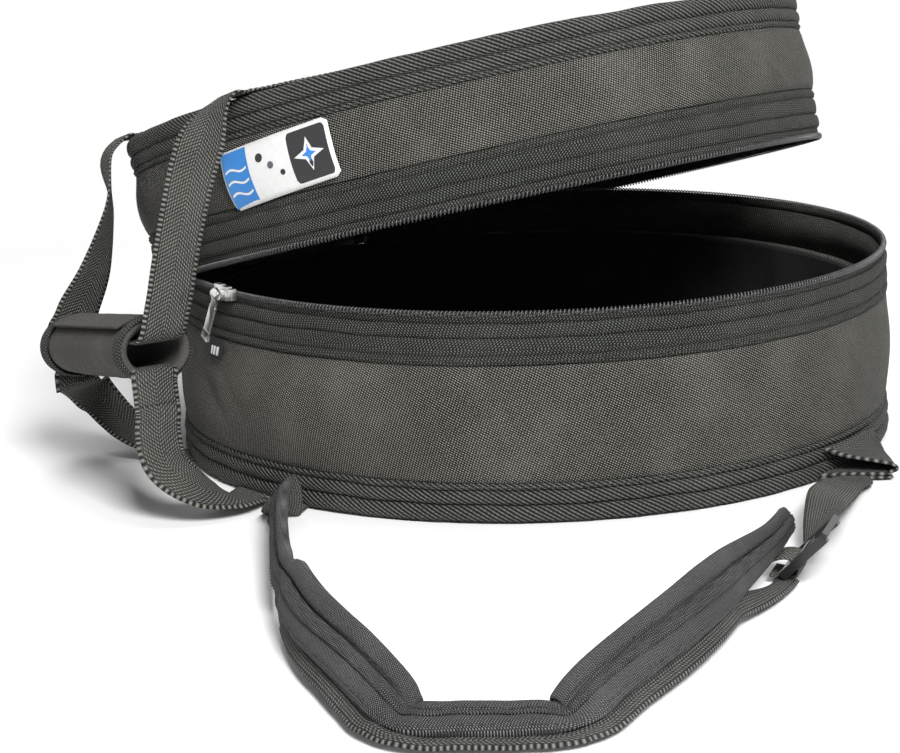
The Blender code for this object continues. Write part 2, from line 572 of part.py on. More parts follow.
# Each row: place as shares of the base's radius, then the lean as a share of a right angle.
STRAP_SHARES = ((-0.645, -1.000, 0.60), (-0.630, -1.165, 0.80), (-0.605, -1.440, 0.83), (-0.570, -1.705, 0.78),
                (-0.505, -1.980, 0.62), (-0.405, -2.195, 0.40), (-0.340, -2.315, 0.26), (-0.300, -2.385, 0.16),
                (-0.240, -2.435, 0.09), (-0.160, -2.450, 0.07), (-0.005, -2.452, 0.07), (0.040, -2.440, 0.09),
                (0.090, -2.395, 0.14), (0.155, -2.290, 0.26), (0.285, -2.085, 0.47), (0.380, -1.905, 0.64),
                (0.435, -1.765, 0.71), (0.520, -1.535, 0.75), (0.570, -1.375, 0.73), (0.592, -1.300, 0.70))
STRAP_STEPS = 3
strap_half = (PAD_WIDTH + EDGE_WIDTH) / 2.0
centres = []
leans = []
for x, y, lean in STRAP_SHARES:
    angle = math.radians(90.0) * lean
    rise = strap_half * math.sin(angle) + PAD_THICK / 2.0 * math.cos(angle) + FLOOR_CLEAR
    centres.append(Vector((x * BASE_RADIUS, y * BASE_RADIUS, rise)))
    leans.append(Vector((angle, 0.0, 0.0)))
centres = smooth(centres, STRAP_STEPS)
leans = [lean.x for lean in smooth(leans, STRAP_STEPS)]
ahead = [(centres[min(index + 1, len(centres) - 1)] - centres[max(index - 1, 0)]).normalized()
         for index in range(len(centres))]
outer = [way.cross(UP).normalized() * math.cos(lean) - UP * math.sin(lean) for way, lean in zip(ahead, leans)]
under = [way.cross(side).normalized() for way, side in zip(ahead, outer)]
pad_route = [centre - side * EDGE_WIDTH / 2.0 for centre, side in zip(centres, outer)]
edge_route = [centre + side * PAD_WIDTH / 2.0 + down * (PAD_THICK - EDGE_THICK) / 2.0
              for centre, side, down in zip(centres, outer, under)]
KINKS = (6 * STRAP_STEPS + 1, 12 * STRAP_STEPS)
EDGE_END = 16 * STRAP_STEPS + 1
spans = {"left": (0, KINKS[0]), "middle": (KINKS[0], KINKS[1]), "right": (KINKS[1], len(centres) - 1)}


def trimmed(points, start, end):
    """The points from one row to another, drawn in half a web at both ends."""
    piece = [point.copy() for point in points[start:end + 1]]
    piece[0] += (piece[1] - piece[0]).normalized() * WEB_THICK / 2.0
    piece[-1] += (piece[-2] - piece[-1]).normalized() * WEB_THICK / 2.0
    return piece


for label, (first, last) in spans.items():
    hang(ribbon("strap_pad_" + label, trimmed(pad_route, first, last), outer[first:last + 1],
                PAD_WIDTH - 2.0 * SEAM_GAP, PAD_THICK, TWILL, PAD_THICK / 4.0), strap)
hang(ribbon("strap_edge_webbing", trimmed(edge_route, 0, EDGE_END), outer[:EDGE_END + 1],
            EDGE_WIDTH - 2.0 * SEAM_GAP, EDGE_THICK, WEBBING), strap)
strap_out = -Vector((math.cos(STRAP_HEADING), math.sin(STRAP_HEADING), 0.0))
lead_end = pad_route[0] - ahead[0] * SEAM_GAP
flat_side = strap_out.cross(UP)
lead_route = [start_level, start_level + strap_out * WEB_THICK * 3.0, start_level.lerp(lead_end, 0.45),
              lead_end - ahead[0] * WEB_THICK * 4.0, lead_end]
lead_side = [flat_side, flat_side, flat_side.lerp(outer[0], 0.35), flat_side.lerp(outer[0], 0.8), outer[0]]
lead_route[2].z = max(lead_route[2].z, STRAP_WEB_WIDTH / 2.0 * 0.55)
lead_route[3].z = max(lead_route[3].z, STRAP_WEB_WIDTH / 2.0 * 0.95)
banded("strap_start_webbing", lead_route, lead_side, STRAP_WEB_WIDTH, WEB_THICK, WEBBING, 4, strap)
print("strap axis at", [round(value, 6) for value in strap_middle], "along", [round(value, 6) for value in strap_axis])

# The right end: webbing folded at the tab, a ladder lock at the strap's back and the loop that holds it.
ANCHOR_SHARES = ((0.785, -0.830, 0.034, 0.15), (0.745, -0.975, 0.055, 0.35),
                 (0.712, -1.110, 0.078, 0.60), (0.690, -1.240, 0.090, 0.85))
lock_row = 17 * STRAP_STEPS + 1
lock_way = Vector((ahead[lock_row].x, ahead[lock_row].y, 0.0)).normalized()
lock_out = lock_way.cross(UP)
lock_foot = Vector((centres[lock_row].x, centres[lock_row].y, 0.0))
loop_radius = math.hypot(LOCK_BAR, LOCK_THICK) / 2.0 + SEAM_GAP * 2.0 + WEB_THICK / 2.0
bar_place = lock_foot + lock_out * LOCK_AWAY + UP * (loop_radius + WEB_THICK)
lock_up = lock_out * math.cos(LOCK_RISE) + UP * math.sin(LOCK_RISE)
lock_length = 3.0 * LOCK_BAR + 2.0 * LOCK_SLOT
lock_turn = Matrix((lock_up, lock_way, lock_up.cross(lock_way))).transposed().to_4x4()
lock_middle = bar_place + lock_up * (lock_length - LOCK_BAR) / 2.0
lock_frame = Matrix.Translation(lock_middle) @ lock_turn
anchor_end = lock_middle + lock_way * (LOCK_WIDTH / 2.0 + SEAM_GAP * 2.0)
anchor_route = [anchor_start, anchor_start - Vector((0.0, WEB_THICK * 6.0, 0.0))]
anchor_route += [Vector((x, y, z)) * BASE_RADIUS for x, y, z, turn in ANCHOR_SHARES]
anchor_route += [anchor_end + lock_way * WEB_THICK * 4.0, anchor_end]
anchor_across = Vector((1.0, 0.0, 0.0))
anchor_side = [anchor_across] * 2 + [anchor_across.lerp(lock_up, turn) for x, y, z, turn in ANCHOR_SHARES]
anchor_side += [lock_up, lock_up]
banded("anchor_webbing", anchor_route, anchor_side, WEB_WIDTH - 2.0 * WEB_THICK, WEB_THICK, WEBBING, 3, strap)
lock_axis = pivot("ladder_lock_axis", Matrix.Translation(bar_place), strap)
lock = hang(block("ladder_lock", (lock_length, LOCK_WIDTH, LOCK_THICK), PLASTIC, lock_frame, LOCK_THICK / 4.0), lock_axis)
slot_away = (LOCK_BAR + LOCK_SLOT) / 2.0
for label, side in (("near", -1.0), ("far", 1.0)):
    slot_frame = lock_frame @ Matrix.Translation((side * slot_away, 0.0, 0.0))
    cut(lock, block("lock_slot_" + label, (LOCK_SLOT, LOCK_WIDTH - 2.0 * LOCK_THICK, LOCK_THICK * 2.0), PLASTIC,
                    slot_frame))

# The loop's route in the plane across the bar: (outwards, upwards) from the bar, as shares of its radius.
LOOP_SHARES = ((-1.70, 0.68), (-0.80, 0.98), (0.0, 1.0), (0.71, 0.71), (1.0, 0.0), (0.71, -0.71), (0.0, -1.0),
               (-0.80, -0.92), (-1.9, -0.80))
loop_route = [bar_place + lock_out * out * loop_radius + UP * rise * loop_radius for out, rise in LOOP_SHARES]
hang(ribbon("lock_loop_webbing", smooth(loop_route, 2), [lock_way] * (2 * len(loop_route) - 1), LOOP_WIDTH,
            WEB_THICK, WEBBING), strap)

# The zip slider rides on the tapes' outer face, with its pull hung from a pin.
slider_rise = zip_bottom + SEAM_GAP + SLIDER_HEIGHT / 2.0
slider_out = zip_outside + SLIDER_OFF + SLIDER_DEPTH / 2.0
slider_frame = look_out(ZIP_START, ring_at(ZIP_START, slider_out, slider_rise))
slider_axis = pivot("zip_slider_axis", Matrix.Translation(UP * slider_rise))
slider = hang(block("zip_slider", (SLIDER_DEPTH, SLIDER_LENGTH, SLIDER_HEIGHT), METAL, slider_frame,
                    SLIDER_DEPTH / 4.0), slider_axis)
eye_radius = PIN_RADIUS + SEAM_GAP + PULL_THICK
pin_away = SLIDER_DEPTH / 2.0 + eye_radius + SEAM_GAP
cheek_long = pin_away - SLIDER_DEPTH / 2.0 + PIN_RADIUS * 2.0
cheek_at = (PULL_WIDTH + PULL_THICK) / 2.0 + SEAM_GAP


def joined(obj, added):
    """Fuse another shape into an object, and keep the added one only as a cutter."""
    bag.objects.unlink(added)
    cutters.objects.link(added)
    added.hide_render = True
    added.display_type = "WIRE"
    union = obj.modifiers.new("Join", "BOOLEAN")
    union.operation = "UNION"
    union.solver = "EXACT"
    union.object = added


for label, side in (("left", -1.0), ("right", 1.0)):
    cheek_frame = slider_frame @ Matrix.Translation((SLIDER_DEPTH / 2.0 + cheek_long / 2.0 - PIN_RADIUS, side * cheek_at, 0.0))
    joined(slider, block("cheek_" + label, (cheek_long, PULL_THICK, PIN_RADIUS * 4.0), METAL, cheek_frame))
pin_frame = slider_frame @ Matrix.Translation((pin_away, 0.0, 0.0)) @ Matrix.Rotation(math.radians(90.0), 4, "X")
joined(slider, rod("slider_pin", PIN_RADIUS, cheek_at * 2.0, METAL, pin_frame, 16))
pull_frame = slider_frame @ Matrix.Translation((pin_away, 0.0, 0.0))
pull_axis = pivot("zip_pull_axis", pull_frame, slider_axis)
pull_turn = pull_frame @ Matrix.Rotation(PULL_SLANT, 4, "X")
pull_middle = pull_turn @ Matrix.Translation((0.0, 0.0, -(PULL_LENGTH + PIN_RADIUS * 2.0) / 2.0))
pull = hang(block("zip_pull_tab", (PULL_THICK, PULL_WIDTH * 0.8, PULL_LENGTH - PIN_RADIUS * 2.0), METAL, pull_middle,
                  PULL_THICK / 4.0), pull_axis)
joined(pull, rod("pull_eye", eye_radius, PULL_WIDTH - 2.0 * SEAM_GAP, METAL, pin_frame, 20))
cut(pull, rod("pull_hole", PIN_RADIUS + SEAM_GAP, PULL_WIDTH * 2.0, METAL, pin_frame, 20))
print("slider axis height", round(slider_rise, 6), "pull pin", [round(value, 6) for value in pull_frame.translation],
      "along", [round(value, 6) for value in pull_frame.col[1].xyz])
print("carry axis at", [round(value, 6) for value in swing_frame.translation], "along",
      [round(value, 6) for value in swing])
print("flap axis at", [round(value, 6) for value in flap_route[0]], "along", [round(value, 6) for value in grip_along])
print("base loop axis at", [round(value, 6) for value in base_middle], "along",
      [round(value, 6) for value in base_swing])
print("lock bar at", [round(value, 6) for value in bar_place], "along", [round(value, 6) for value in lock_way])
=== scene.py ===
# %% [markdown]
# # A round drum bag, dressed piece by piece
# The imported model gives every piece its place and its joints. This lesson puts cloth, webbing,
# zip and metal on it. The lid is open, the carry handle hangs at the left, and the shoulder
# strap lies on the floor in front. Work goes from the camera to the cloth, then to the hardware.

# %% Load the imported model
import math

import bmesh
import bpy
import numpy as np
from mathutils import Matrix, Vector, noise


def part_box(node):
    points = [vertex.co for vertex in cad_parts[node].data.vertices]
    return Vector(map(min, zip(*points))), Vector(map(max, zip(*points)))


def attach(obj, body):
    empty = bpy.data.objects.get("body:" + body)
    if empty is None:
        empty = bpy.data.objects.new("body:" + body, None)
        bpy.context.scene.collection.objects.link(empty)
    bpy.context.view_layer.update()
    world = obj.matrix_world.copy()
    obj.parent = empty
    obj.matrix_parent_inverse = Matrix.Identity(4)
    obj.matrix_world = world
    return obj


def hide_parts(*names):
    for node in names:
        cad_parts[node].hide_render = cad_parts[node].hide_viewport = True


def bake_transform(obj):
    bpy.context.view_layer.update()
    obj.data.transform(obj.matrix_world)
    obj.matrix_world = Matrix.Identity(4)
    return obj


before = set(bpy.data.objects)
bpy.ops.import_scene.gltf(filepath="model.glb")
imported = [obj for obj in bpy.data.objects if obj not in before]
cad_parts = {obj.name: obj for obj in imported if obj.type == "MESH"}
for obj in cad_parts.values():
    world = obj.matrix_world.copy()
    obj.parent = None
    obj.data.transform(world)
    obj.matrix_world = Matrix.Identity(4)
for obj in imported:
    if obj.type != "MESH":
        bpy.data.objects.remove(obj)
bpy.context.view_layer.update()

# %% [markdown]
# ## The camera
# A photograph's angle comes from four things: where the camera stood, how high it looked down,
# how it was turned and its focal length. One could nudge the camera by hand until it matches.
# Here the turn is written as three small angles (yaw, pitch, roll) about a line that looks at
# the middle of the bag, which keeps each one easy to read and to change.

# %% Camera
CAMERA_AWAY = 1.400
CAMERA_RISE = math.radians(14.24)
FOCAL_PIXELS = 2405.04
PHOTO_WIDE = 900.0
SENSOR = 36.0
YAW, PITCH, ROLL = -0.034805, 0.020929, 0.026560

back = Vector((0.0, -math.cos(CAMERA_RISE), math.sin(CAMERA_RISE)))
right, forward = Vector((1.0, 0.0, 0.0)), -back
up = right.cross(forward)
side_axis = math.cos(YAW) * right - math.sin(YAW) * forward
ahead_axis = math.sin(YAW) * right + math.cos(YAW) * forward
rise_axis = math.cos(PITCH) * up - math.sin(PITCH) * ahead_axis
look_axis = math.sin(PITCH) * up + math.cos(PITCH) * ahead_axis
x_axis = math.cos(ROLL) * side_axis - math.sin(ROLL) * rise_axis
y_axis = math.sin(ROLL) * side_axis + math.cos(ROLL) * rise_axis
turn = Matrix((x_axis, y_axis, -look_axis)).transposed().to_4x4()
camera = bpy.data.objects.new("camera", bpy.data.cameras.new("camera"))
camera.data.lens = FOCAL_PIXELS / PHOTO_WIDE * SENSOR
camera.data.sensor_width = SENSOR
camera.matrix_world = Matrix.Translation(back * CAMERA_AWAY) @ turn
bpy.context.scene.collection.objects.link(camera)
bpy.context.scene.camera = camera
print("lens", round(camera.data.lens, 2), "mm")

# %% [markdown]
# ## Lamps
# Black cloth needs wide, soft light that grazes it, or its weave disappears. Small lamps would
# give hard spots. Large area lamps give long gentle highlights along the seams.

# %% Lamps
LAMPS = (("key", (0.62, -1.95, 1.75), (0.0, -0.05, 0.08), 0.9, 86.0),
         ("fill", (-0.2, -2.2, 0.8), (0.0, 0.0, 0.1), 1.4, 4.0),
         ("top", (0.1, 0.7, 2.3), (0.0, 0.0, 0.1), 1.6, 30.0))
for name, place, aim, size, watts in LAMPS:
    light = bpy.data.lights.new(name, "AREA")
    light.size, light.energy = size, watts
    lamp = bpy.data.objects.new(name, light)
    lamp.location = place
    lamp.rotation_euler = (Vector(aim) - Vector(place)).to_track_quat("-Z", "Y").to_euler()
    bpy.context.scene.collection.objects.link(lamp)
print("lamps:", len(LAMPS))

# %% [markdown]
# ## A helper for shader nodes
# A material is a net of small nodes. In the editor they are dragged and joined by hand. A bag
# has a dozen cloths that differ only in their numbers, so here a small class places and joins
# nodes in one short line each.

# %% Node helper
class Wiring:
    """Adds nodes to a tree in a few words."""

    def __init__(self, tree):
        self.tree = tree

    def put(self, kind, **settings):
        node = self.tree.nodes.new(kind)
        for key, value in settings.items():
            setattr(node, key, value)
        return node

    def set(self, socket, value):
        if isinstance(value, bpy.types.NodeSocket):
            self.tree.links.new(value, socket)
        elif value is not None:
            socket.default_value = value

    def filled(self, kind, output, **values):
        """A node with its named inputs set or linked; gives the named output."""
        node = self.put(kind)
        for label, value in values.items():
            self.set(node.inputs[label.replace("_", " ")], value)
        return node.outputs[output]

    def math(self, operation, first, second=None, third=None, clamp=False):
        node = self.put("ShaderNodeMath", operation=operation, use_clamp=clamp)
        for socket, value in zip(node.inputs, (first, second, third)):
            self.set(socket, value)
        return node.outputs[0]

    def wave(self, value, turns=1.0, swing=0.5):
        """A sine from zero up to twice the swing, with so many turns for each unit of the value."""
        sine = self.math("SINE", self.math("MULTIPLY", value, math.tau * turns))
        return self.math("MULTIPLY_ADD", sine, swing, swing)

    def mix(self, share, first, second):
        node = self.put("ShaderNodeMix", data_type="RGBA")
        for index, value in ((0, share), (6, first), (7, second)):
            self.set(node.inputs[index], value)
        return node.outputs[2]

    def noise(self, where, scale, detail=2.0, rough=0.5):
        return self.filled("ShaderNodeTexNoise", "Fac", Vector=where, Scale=scale, Detail=detail,
                           Roughness=rough)

    def shader_mix(self, share, first, second):
        node = self.put("ShaderNodeMixShader")
        for socket, value in zip(node.inputs, (share, first, second)):
            self.set(socket, value)
        return node.outputs[0]

    def seen_by(self, *labels):
        """One for the named rays and zero for all other light."""
        rays = self.put("ShaderNodeLightPath")
        mask = rays.outputs[labels[0]]
        for label in labels[1:]:
            mask = self.math("MAXIMUM", mask, rays.outputs[label])
        return mask


print("node helper ready")

# %% [markdown]
# ## World and floor
# The floor is white paper that takes the bag's soft shadow. Brighter lamps would make it white
# too, but they would wash out the cloth. So the paper fades into plain white away from the bag,
# for the camera and for reflections only, as the page of a catalogue does.

# %% World
ROOM_TINT, ROOM_STRENGTH = (0.93, 0.95, 1.0, 1.0), 0.13
WHITE = (1.0, 1.0, 1.0, 1.0)
world = bpy.data.worlds.new("studio")
bpy.context.scene.world = world
world.use_nodes = True
world.node_tree.nodes.clear()
studio = Wiring(world.node_tree)
room = studio.filled("ShaderNodeBackground", 0, Color=ROOM_TINT, Strength=ROOM_STRENGTH)
white = studio.filled("ShaderNodeBackground", 0, Color=WHITE, Strength=1.0)
either = studio.shader_mix(studio.seen_by("Is Camera Ray", "Is Glossy Ray"), room, white)
studio.set(studio.put("ShaderNodeOutputWorld").inputs["Surface"], either)
print("room strength", ROOM_STRENGTH)

# %% Floor
FLOOR_HALF, FLOOR_DOWN = 6.0, -0.0006
FADE_FROM, FADE_TO = 0.42, 0.95
PAPER = (0.96, 0.96, 0.96, 1.0)
floor_corners = [(x * FLOOR_HALF, y * FLOOR_HALF, FLOOR_DOWN)
                 for x, y in ((-1, -1), (1, -1), (1, 1), (-1, 1))]
floor_mesh = bpy.data.meshes.new("floor")
floor_mesh.from_pydata(floor_corners, [], [(0, 1, 2, 3)])
floor = bpy.data.objects.new("floor", floor_mesh)
bpy.context.scene.collection.objects.link(floor)
floor_look = bpy.data.materials.new("white_paper")
floor_look.use_nodes = True
paper = Wiring(floor_look.node_tree)
matte = floor_look.node_tree.nodes["Principled BSDF"]
for label, value in (("Base Color", PAPER), ("Roughness", 0.9), ("Specular IOR Level", 0.1)):
    matte.inputs[label].default_value = value
away = paper.put("ShaderNodeVectorMath", operation="LENGTH")
paper.set(away.inputs[0], paper.put("ShaderNodeTexCoord").outputs["Object"])
fade = paper.put("ShaderNodeMapRange", interpolation_type="SMOOTHSTEP")
for label, value in (("Value", away.outputs["Value"]), ("From Min", FADE_FROM), ("From Max", FADE_TO)):
    paper.set(fade.inputs[label], value)
looked_at = paper.seen_by("Is Camera Ray", "Is Glossy Ray", "Is Transmission Ray")
bright = paper.filled("ShaderNodeEmission", 0, Strength=1.0)
page = paper.shader_mix(paper.math("MULTIPLY", looked_at, fade.outputs["Result"]), matte.outputs[0], bright)
paper.set(floor_look.node_tree.nodes["Material Output"].inputs["Surface"], page)
floor_mesh.materials.append(floor_look)
bpy.context.scene.view_settings.view_transform = "Standard"
print("paper fades from", FADE_FROM, "to", FADE_TO, "m")

# %% [markdown]
# ## Weaves as node groups
# Twill is threads that step off_middle row by row, which shows as slanting ribs. Tape is the same
# cloth turned about in narrow columns, so its ribs zigzag. Both can be drawn from two numbers:
# metres along the strip and metres across it. Each piece below stores those numbers in a map
# named "metres", so one node group gives every piece threads of the same real size.

# %% Group helper
NUMBER, VECTOR, COLOUR = "NodeSocketFloat", "NodeSocketVector", "NodeSocketColor"


def new_group(name, wanted, given):
    """An empty shader group with named inputs (with defaults) and outputs."""
    tree = bpy.data.node_groups.new(name, "ShaderNodeTree")
    for label, kind, value in wanted:
        socket = tree.interface.new_socket(label, in_out="INPUT", socket_type=kind)
        if value is not None:
            socket.default_value = value
    for label, kind in given:
        tree.interface.new_socket(label, in_out="OUTPUT", socket_type=kind)
    wiring = Wiring(tree)
    return tree, wiring, wiring.put("NodeGroupInput").outputs, wiring.put("NodeGroupOutput").inputs


def along_and_across(wiring, metres):
    """The two numbers of the map in metres."""
    split = wiring.put("ShaderNodeSeparateXYZ")
    wiring.set(split.inputs[0], metres)
    return split.outputs[0], split.outputs[1]


# %% Twill ribs
twill_ribs, w, given, out = new_group(
    "twill_ribs", [("Metres", VECTOR, None), ("Pitch", NUMBER, 0.0013), ("Slope", NUMBER, 0.55),
                   ("Zigzag", NUMBER, 0.0), ("Column", NUMBER, 0.01), ("Bead", NUMBER, 1.0)],
    [("Height", NUMBER), ("Thread", NUMBER)])
along, across = along_and_across(w, given["Metres"])
column = w.math("DIVIDE", across, given["Column"])
folded = w.math("MULTIPLY", w.math("PINGPONG", column, 1.0), given["Column"])
plain = w.math("SUBTRACT", across, w.math("MULTIPLY", across, given["Zigzag"]))
level = w.math("ADD", plain, w.math("MULTIPLY", folded, given["Zigzag"]))
slant = w.math("SUBTRACT", w.math("MULTIPLY", along, given["Slope"]), level)
ridge_height = w.wave(w.math("DIVIDE", slant, given["Pitch"]))
step_on = w.math("DIVIDE", w.math("ADD", along, w.math("MULTIPLY", level, 0.35)), given["Pitch"])
bead = w.math("MULTIPLY", w.wave(step_on, 0.93), given["Bead"])
bead = w.math("ADD", bead, w.math("SUBTRACT", 1.0, given["Bead"]))
w.set(out["Height"], w.math("MULTIPLY", ridge_height, w.math("MULTIPLY_ADD", bead, 0.45, 0.55)))
# Thread: the raised threads' mask. The colour group paints it lighter as a painted highlight and leaves the
# hollows dark as painted shade.
w.set(out["Thread"], w.math("MULTIPLY", w.math("POWER", ridge_height, 1.6), bead))
print("twill group:", len(twill_ribs.nodes), "nodes")

# %% [markdown]
# ## Colour of worn black cloth, with painted light on its threads
# Black cloth is never one black. Here its raised threads are painted lighter, a painted highlight
# with a little fibre dust, and the hollows between them stay dark, a painted shade. Large areas
# fade unevenly. A second group mixes these from the weave's own mask and two noises.

# %% Cloth colour group
cloth_colour, w, given, out = new_group(
    "cloth_colour", [("Metres", VECTOR, None), ("Thread", NUMBER, 0.5),
                     ("Dark", COLOUR, (0.01, 0.01, 0.01, 1.0)),
                     ("Light", COLOUR, (0.10, 0.10, 0.095, 1.0)), ("Fading", NUMBER, 0.3)],
    [("Color", COLOUR), ("Roughness", NUMBER)])
patches = w.noise(given["Metres"], 22.0, 3.0, 0.6)
fibres = w.noise(given["Metres"], 900.0, 2.0, 0.7)
dusty = w.math("MULTIPLY_ADD", fibres, 2.8, -0.45, clamp=True)
# Painted light: the weave's raised-thread mask, with fibre dust, picks the light colour, a painted highlight on
# thread tops; the hollows keep the dark colour, a painted shade.
lit = w.math("MULTIPLY", given["Thread"], dusty, clamp=True)
faded = w.math("MULTIPLY_ADD", w.math("SUBTRACT", patches, 0.5), given["Fading"], lit, clamp=True)
w.set(out["Color"], w.mix(faded, given["Dark"], given["Light"]))
w.set(out["Roughness"], w.math("MULTIPLY_ADD", patches, 0.16, 0.70))
print("colour group:", len(cloth_colour.nodes), "nodes")

# %% [markdown]
# ## Webbing
# Strap webbing is woven thick, with a ribbed middle and a hard edge of short cross ribs on each
# side. The map's second number is metres from the strip's middle line, so the distance from the
# edge picks between the two patterns.

# %% Webbing group
RIB_PITCH, CORD_PITCH, LADDER_PITCH = 0.0021, 0.0013, 0.0026
webbing_weave, w, given, out = new_group(
    "webbing_weave", [("Metres", VECTOR, None), ("Half width", NUMBER, 0.0125), ("Edge", NUMBER, 0.0024)],
    [("Height", NUMBER), ("Thread", NUMBER)])
along, across = along_and_across(w, given["Metres"])
off_middle = w.math("ABSOLUTE", across)
ribs = w.wave(w.math("SUBTRACT", along, w.math("MULTIPLY", off_middle, 0.8)), 1.0 / RIB_PITCH)
cords = w.wave(across, 1.0 / CORD_PITCH)
middle = w.math("MULTIPLY", w.math("MULTIPLY_ADD", ribs, 0.75, 0.25), w.math("MULTIPLY_ADD", cords, 0.7, 0.3))
ladder = w.wave(along, 1.0 / LADDER_PITCH, 0.42)
past_edge = w.math("SUBTRACT", off_middle, w.math("SUBTRACT", given["Half width"], given["Edge"]))
at_edge = w.math("MULTIPLY", past_edge, 4000.0, clamp=True)
inner = w.math("MULTIPLY", middle, w.math("SUBTRACT", 1.0, at_edge))
blend = w.math("ADD", w.math("MULTIPLY", ladder, at_edge), inner)
# The line between the middle and the edge is a groove. It lowers Height and Thread, and the lower Thread paints
# it darker, a painted shade.
off_line = w.math("MULTIPLY", w.math("ABSOLUTE", past_edge), 2200.0, clamp=True)
groove = w.math("SUBTRACT", 1.0, w.math("MULTIPLY", w.math("SUBTRACT", 1.0, off_line), 0.7))
w.set(out["Height"], w.math("MULTIPLY", blend, groove))
# Thread: the raised ribs' mask, which the colour group paints lighter, a painted highlight.
w.set(out["Thread"], w.math("MULTIPLY", w.math("POWER", blend, 1.5), groove))
print("webbing group:", len(webbing_weave.nodes), "nodes")

# %% [markdown]
# ## Cloth
# Every cloth material is the same short chain: the map in metres, a weave group, the colour
# group and two Bump nodes, fine for the threads and coarse for the padding. Only the numbers
# change. Sheen stands for the fine fuzz that makes black polyester look grey at a grazing angle,
# and it is a plain number on the shader.

# %% Cloth material helper
CLOTH_SHEEN_ROUGH, CLOTH_SPECULAR = 0.45, 0.10
LUMP_DEPTH, LUMP_STRENGTH = 0.0012, 0.35


def material(name):
    """An empty Principled material and its wiring."""
    made = bpy.data.materials.new(name)
    made.use_nodes = True
    return made, Wiring(made.node_tree), made.node_tree.nodes["Principled BSDF"]


def group(wiring, tree, **values):
    """A placed node group with its inputs set or linked."""
    node = wiring.put("ShaderNodeGroup", node_tree=tree)
    for label, value in values.items():
        wiring.set(node.inputs[label.replace("_", " ")], value)
    return node


def bump(wiring, height, distance, strength=None, normal=None):
    """A Bump node over a height."""
    return wiring.filled("ShaderNodeBump", 0, Height=height, Distance=distance, Strength=strength,
                         Normal=normal)


def cloth_material(name, weave, dark, light, depth, fading, sheen=0.02, **weave_values):
    """Woven cloth: weave, colour and bump, with threads of real size. The colour paints the raised threads
    lighter and the hollows darker: painted highlight and painted shade.
    """
    made, wiring, shader = material(name)
    metres = wiring.put("ShaderNodeUVMap", uv_map="metres").outputs[0]
    threads = group(wiring, weave, Metres=metres, **weave_values)
    colour = group(wiring, cloth_colour, Metres=metres, Thread=threads.outputs["Thread"],
                   Dark=(*dark, 1.0), Light=(*light, 1.0), Fading=fading)
    wiring.set(shader.inputs["Base Color"], colour.outputs["Color"])
    wiring.set(shader.inputs["Roughness"], colour.outputs["Roughness"])
    fine = bump(wiring, threads.outputs["Height"], depth)
    coarse = bump(wiring, wiring.noise(metres, 60.0, 3.0, 0.55), LUMP_DEPTH, LUMP_STRENGTH, fine)
    wiring.set(shader.inputs["Normal"], coarse)
    shader.inputs["Sheen Weight"].default_value = sheen
    shader.inputs["Sheen Roughness"].default_value = CLOTH_SHEEN_ROUGH
    shader.inputs["Specular IOR Level"].default_value = CLOTH_SPECULAR
    return made


# %% Twill and tape
TWILL = cloth_material("padded_twill", twill_ribs, (0.012, 0.012, 0.011), (0.430, 0.412, 0.365), 0.00060, 0.30,
                       Pitch=0.00135, Slope=0.55)
TAPE = cloth_material("binding_tape", twill_ribs, (0.008, 0.009, 0.008), (0.215, 0.222, 0.195), 0.00060, 0.22,
                      Pitch=0.0016, Slope=0.85, Zigzag=1.0, Column=0.0075)
BOLD_TAPE = cloth_material("bold_binding_tape", twill_ribs, (0.010, 0.011, 0.010), (0.190, 0.195, 0.176),
                           0.0009, 0.22, Pitch=0.0022, Slope=0.62, Bead=0.40)
HERRING = cloth_material("herringbone_tape", twill_ribs, (0.010, 0.010, 0.010), (0.250, 0.250, 0.242),
                         0.0005, 0.25, Pitch=0.0013, Slope=1.0, Zigzag=1.0, Column=0.0021)
THREAD = cloth_material("sewing_thread", twill_ribs, (0.050, 0.050, 0.047), (0.200, 0.200, 0.188), 0.0001, 0.2,
                        Pitch=0.0005, Slope=1.0)
print("twill and tapes made")

# %% Webbing in three widths
WEBBING_DARK, NARROW_LIGHT = (0.010, 0.010, 0.009), (0.260, 0.258, 0.245)
WEBBING = cloth_material("ribbed_webbing", webbing_weave, WEBBING_DARK, (0.300, 0.298, 0.272), 0.0008, 0.25)
NARROW_WEBBING = cloth_material("narrow_webbing", webbing_weave, WEBBING_DARK, NARROW_LIGHT, 0.0008, 0.25,
                                Half_width=0.0054, Edge=0.0016)
WIDE_WEBBING = cloth_material("wide_webbing", webbing_weave, WEBBING_DARK, NARROW_LIGHT, 0.0008, 0.25,
                              Half_width=0.0295, Edge=0.0026)
print("webbing made")

# %% Smoother cloths
TAG_CLOTH = cloth_material("satin_tag", twill_ribs, (0.020, 0.020, 0.020), (0.060, 0.060, 0.058), 0.0001, 0.2,
                           Pitch=0.0006, Slope=0.0)
PAD_CLOTH = cloth_material("strap_pad_cloth", twill_ribs, (0.016, 0.016, 0.016), (0.290, 0.284, 0.288),
                           0.0004, 0.30, Pitch=0.0011, Slope=0.9)
GRIP_CLOTH = cloth_material("grip_wrap_cloth", twill_ribs, (0.030, 0.028, 0.026), (0.250, 0.238, 0.224),
                            0.00015, 0.50, Pitch=0.0008, Slope=0.3)
LINING = cloth_material("smooth_lining", twill_ribs, (0.012, 0.012, 0.012), (0.055, 0.055, 0.053),
                        0.00015, 0.35, sheen=0.05, Pitch=0.0009, Slope=0.0)
print("smoother cloths made")

# %% [markdown]
# ## Metal and plastic
# The zip's slider is plated zinc with fine scratches, and the coil and the strap's lock are
# moulded nylon: dark, a little glossy, and slightly uneven where the mould left its skin.

# %% Metal and plastic
HOLLOW_SHADE = 0.8
SKIN_SCALE = 4.0


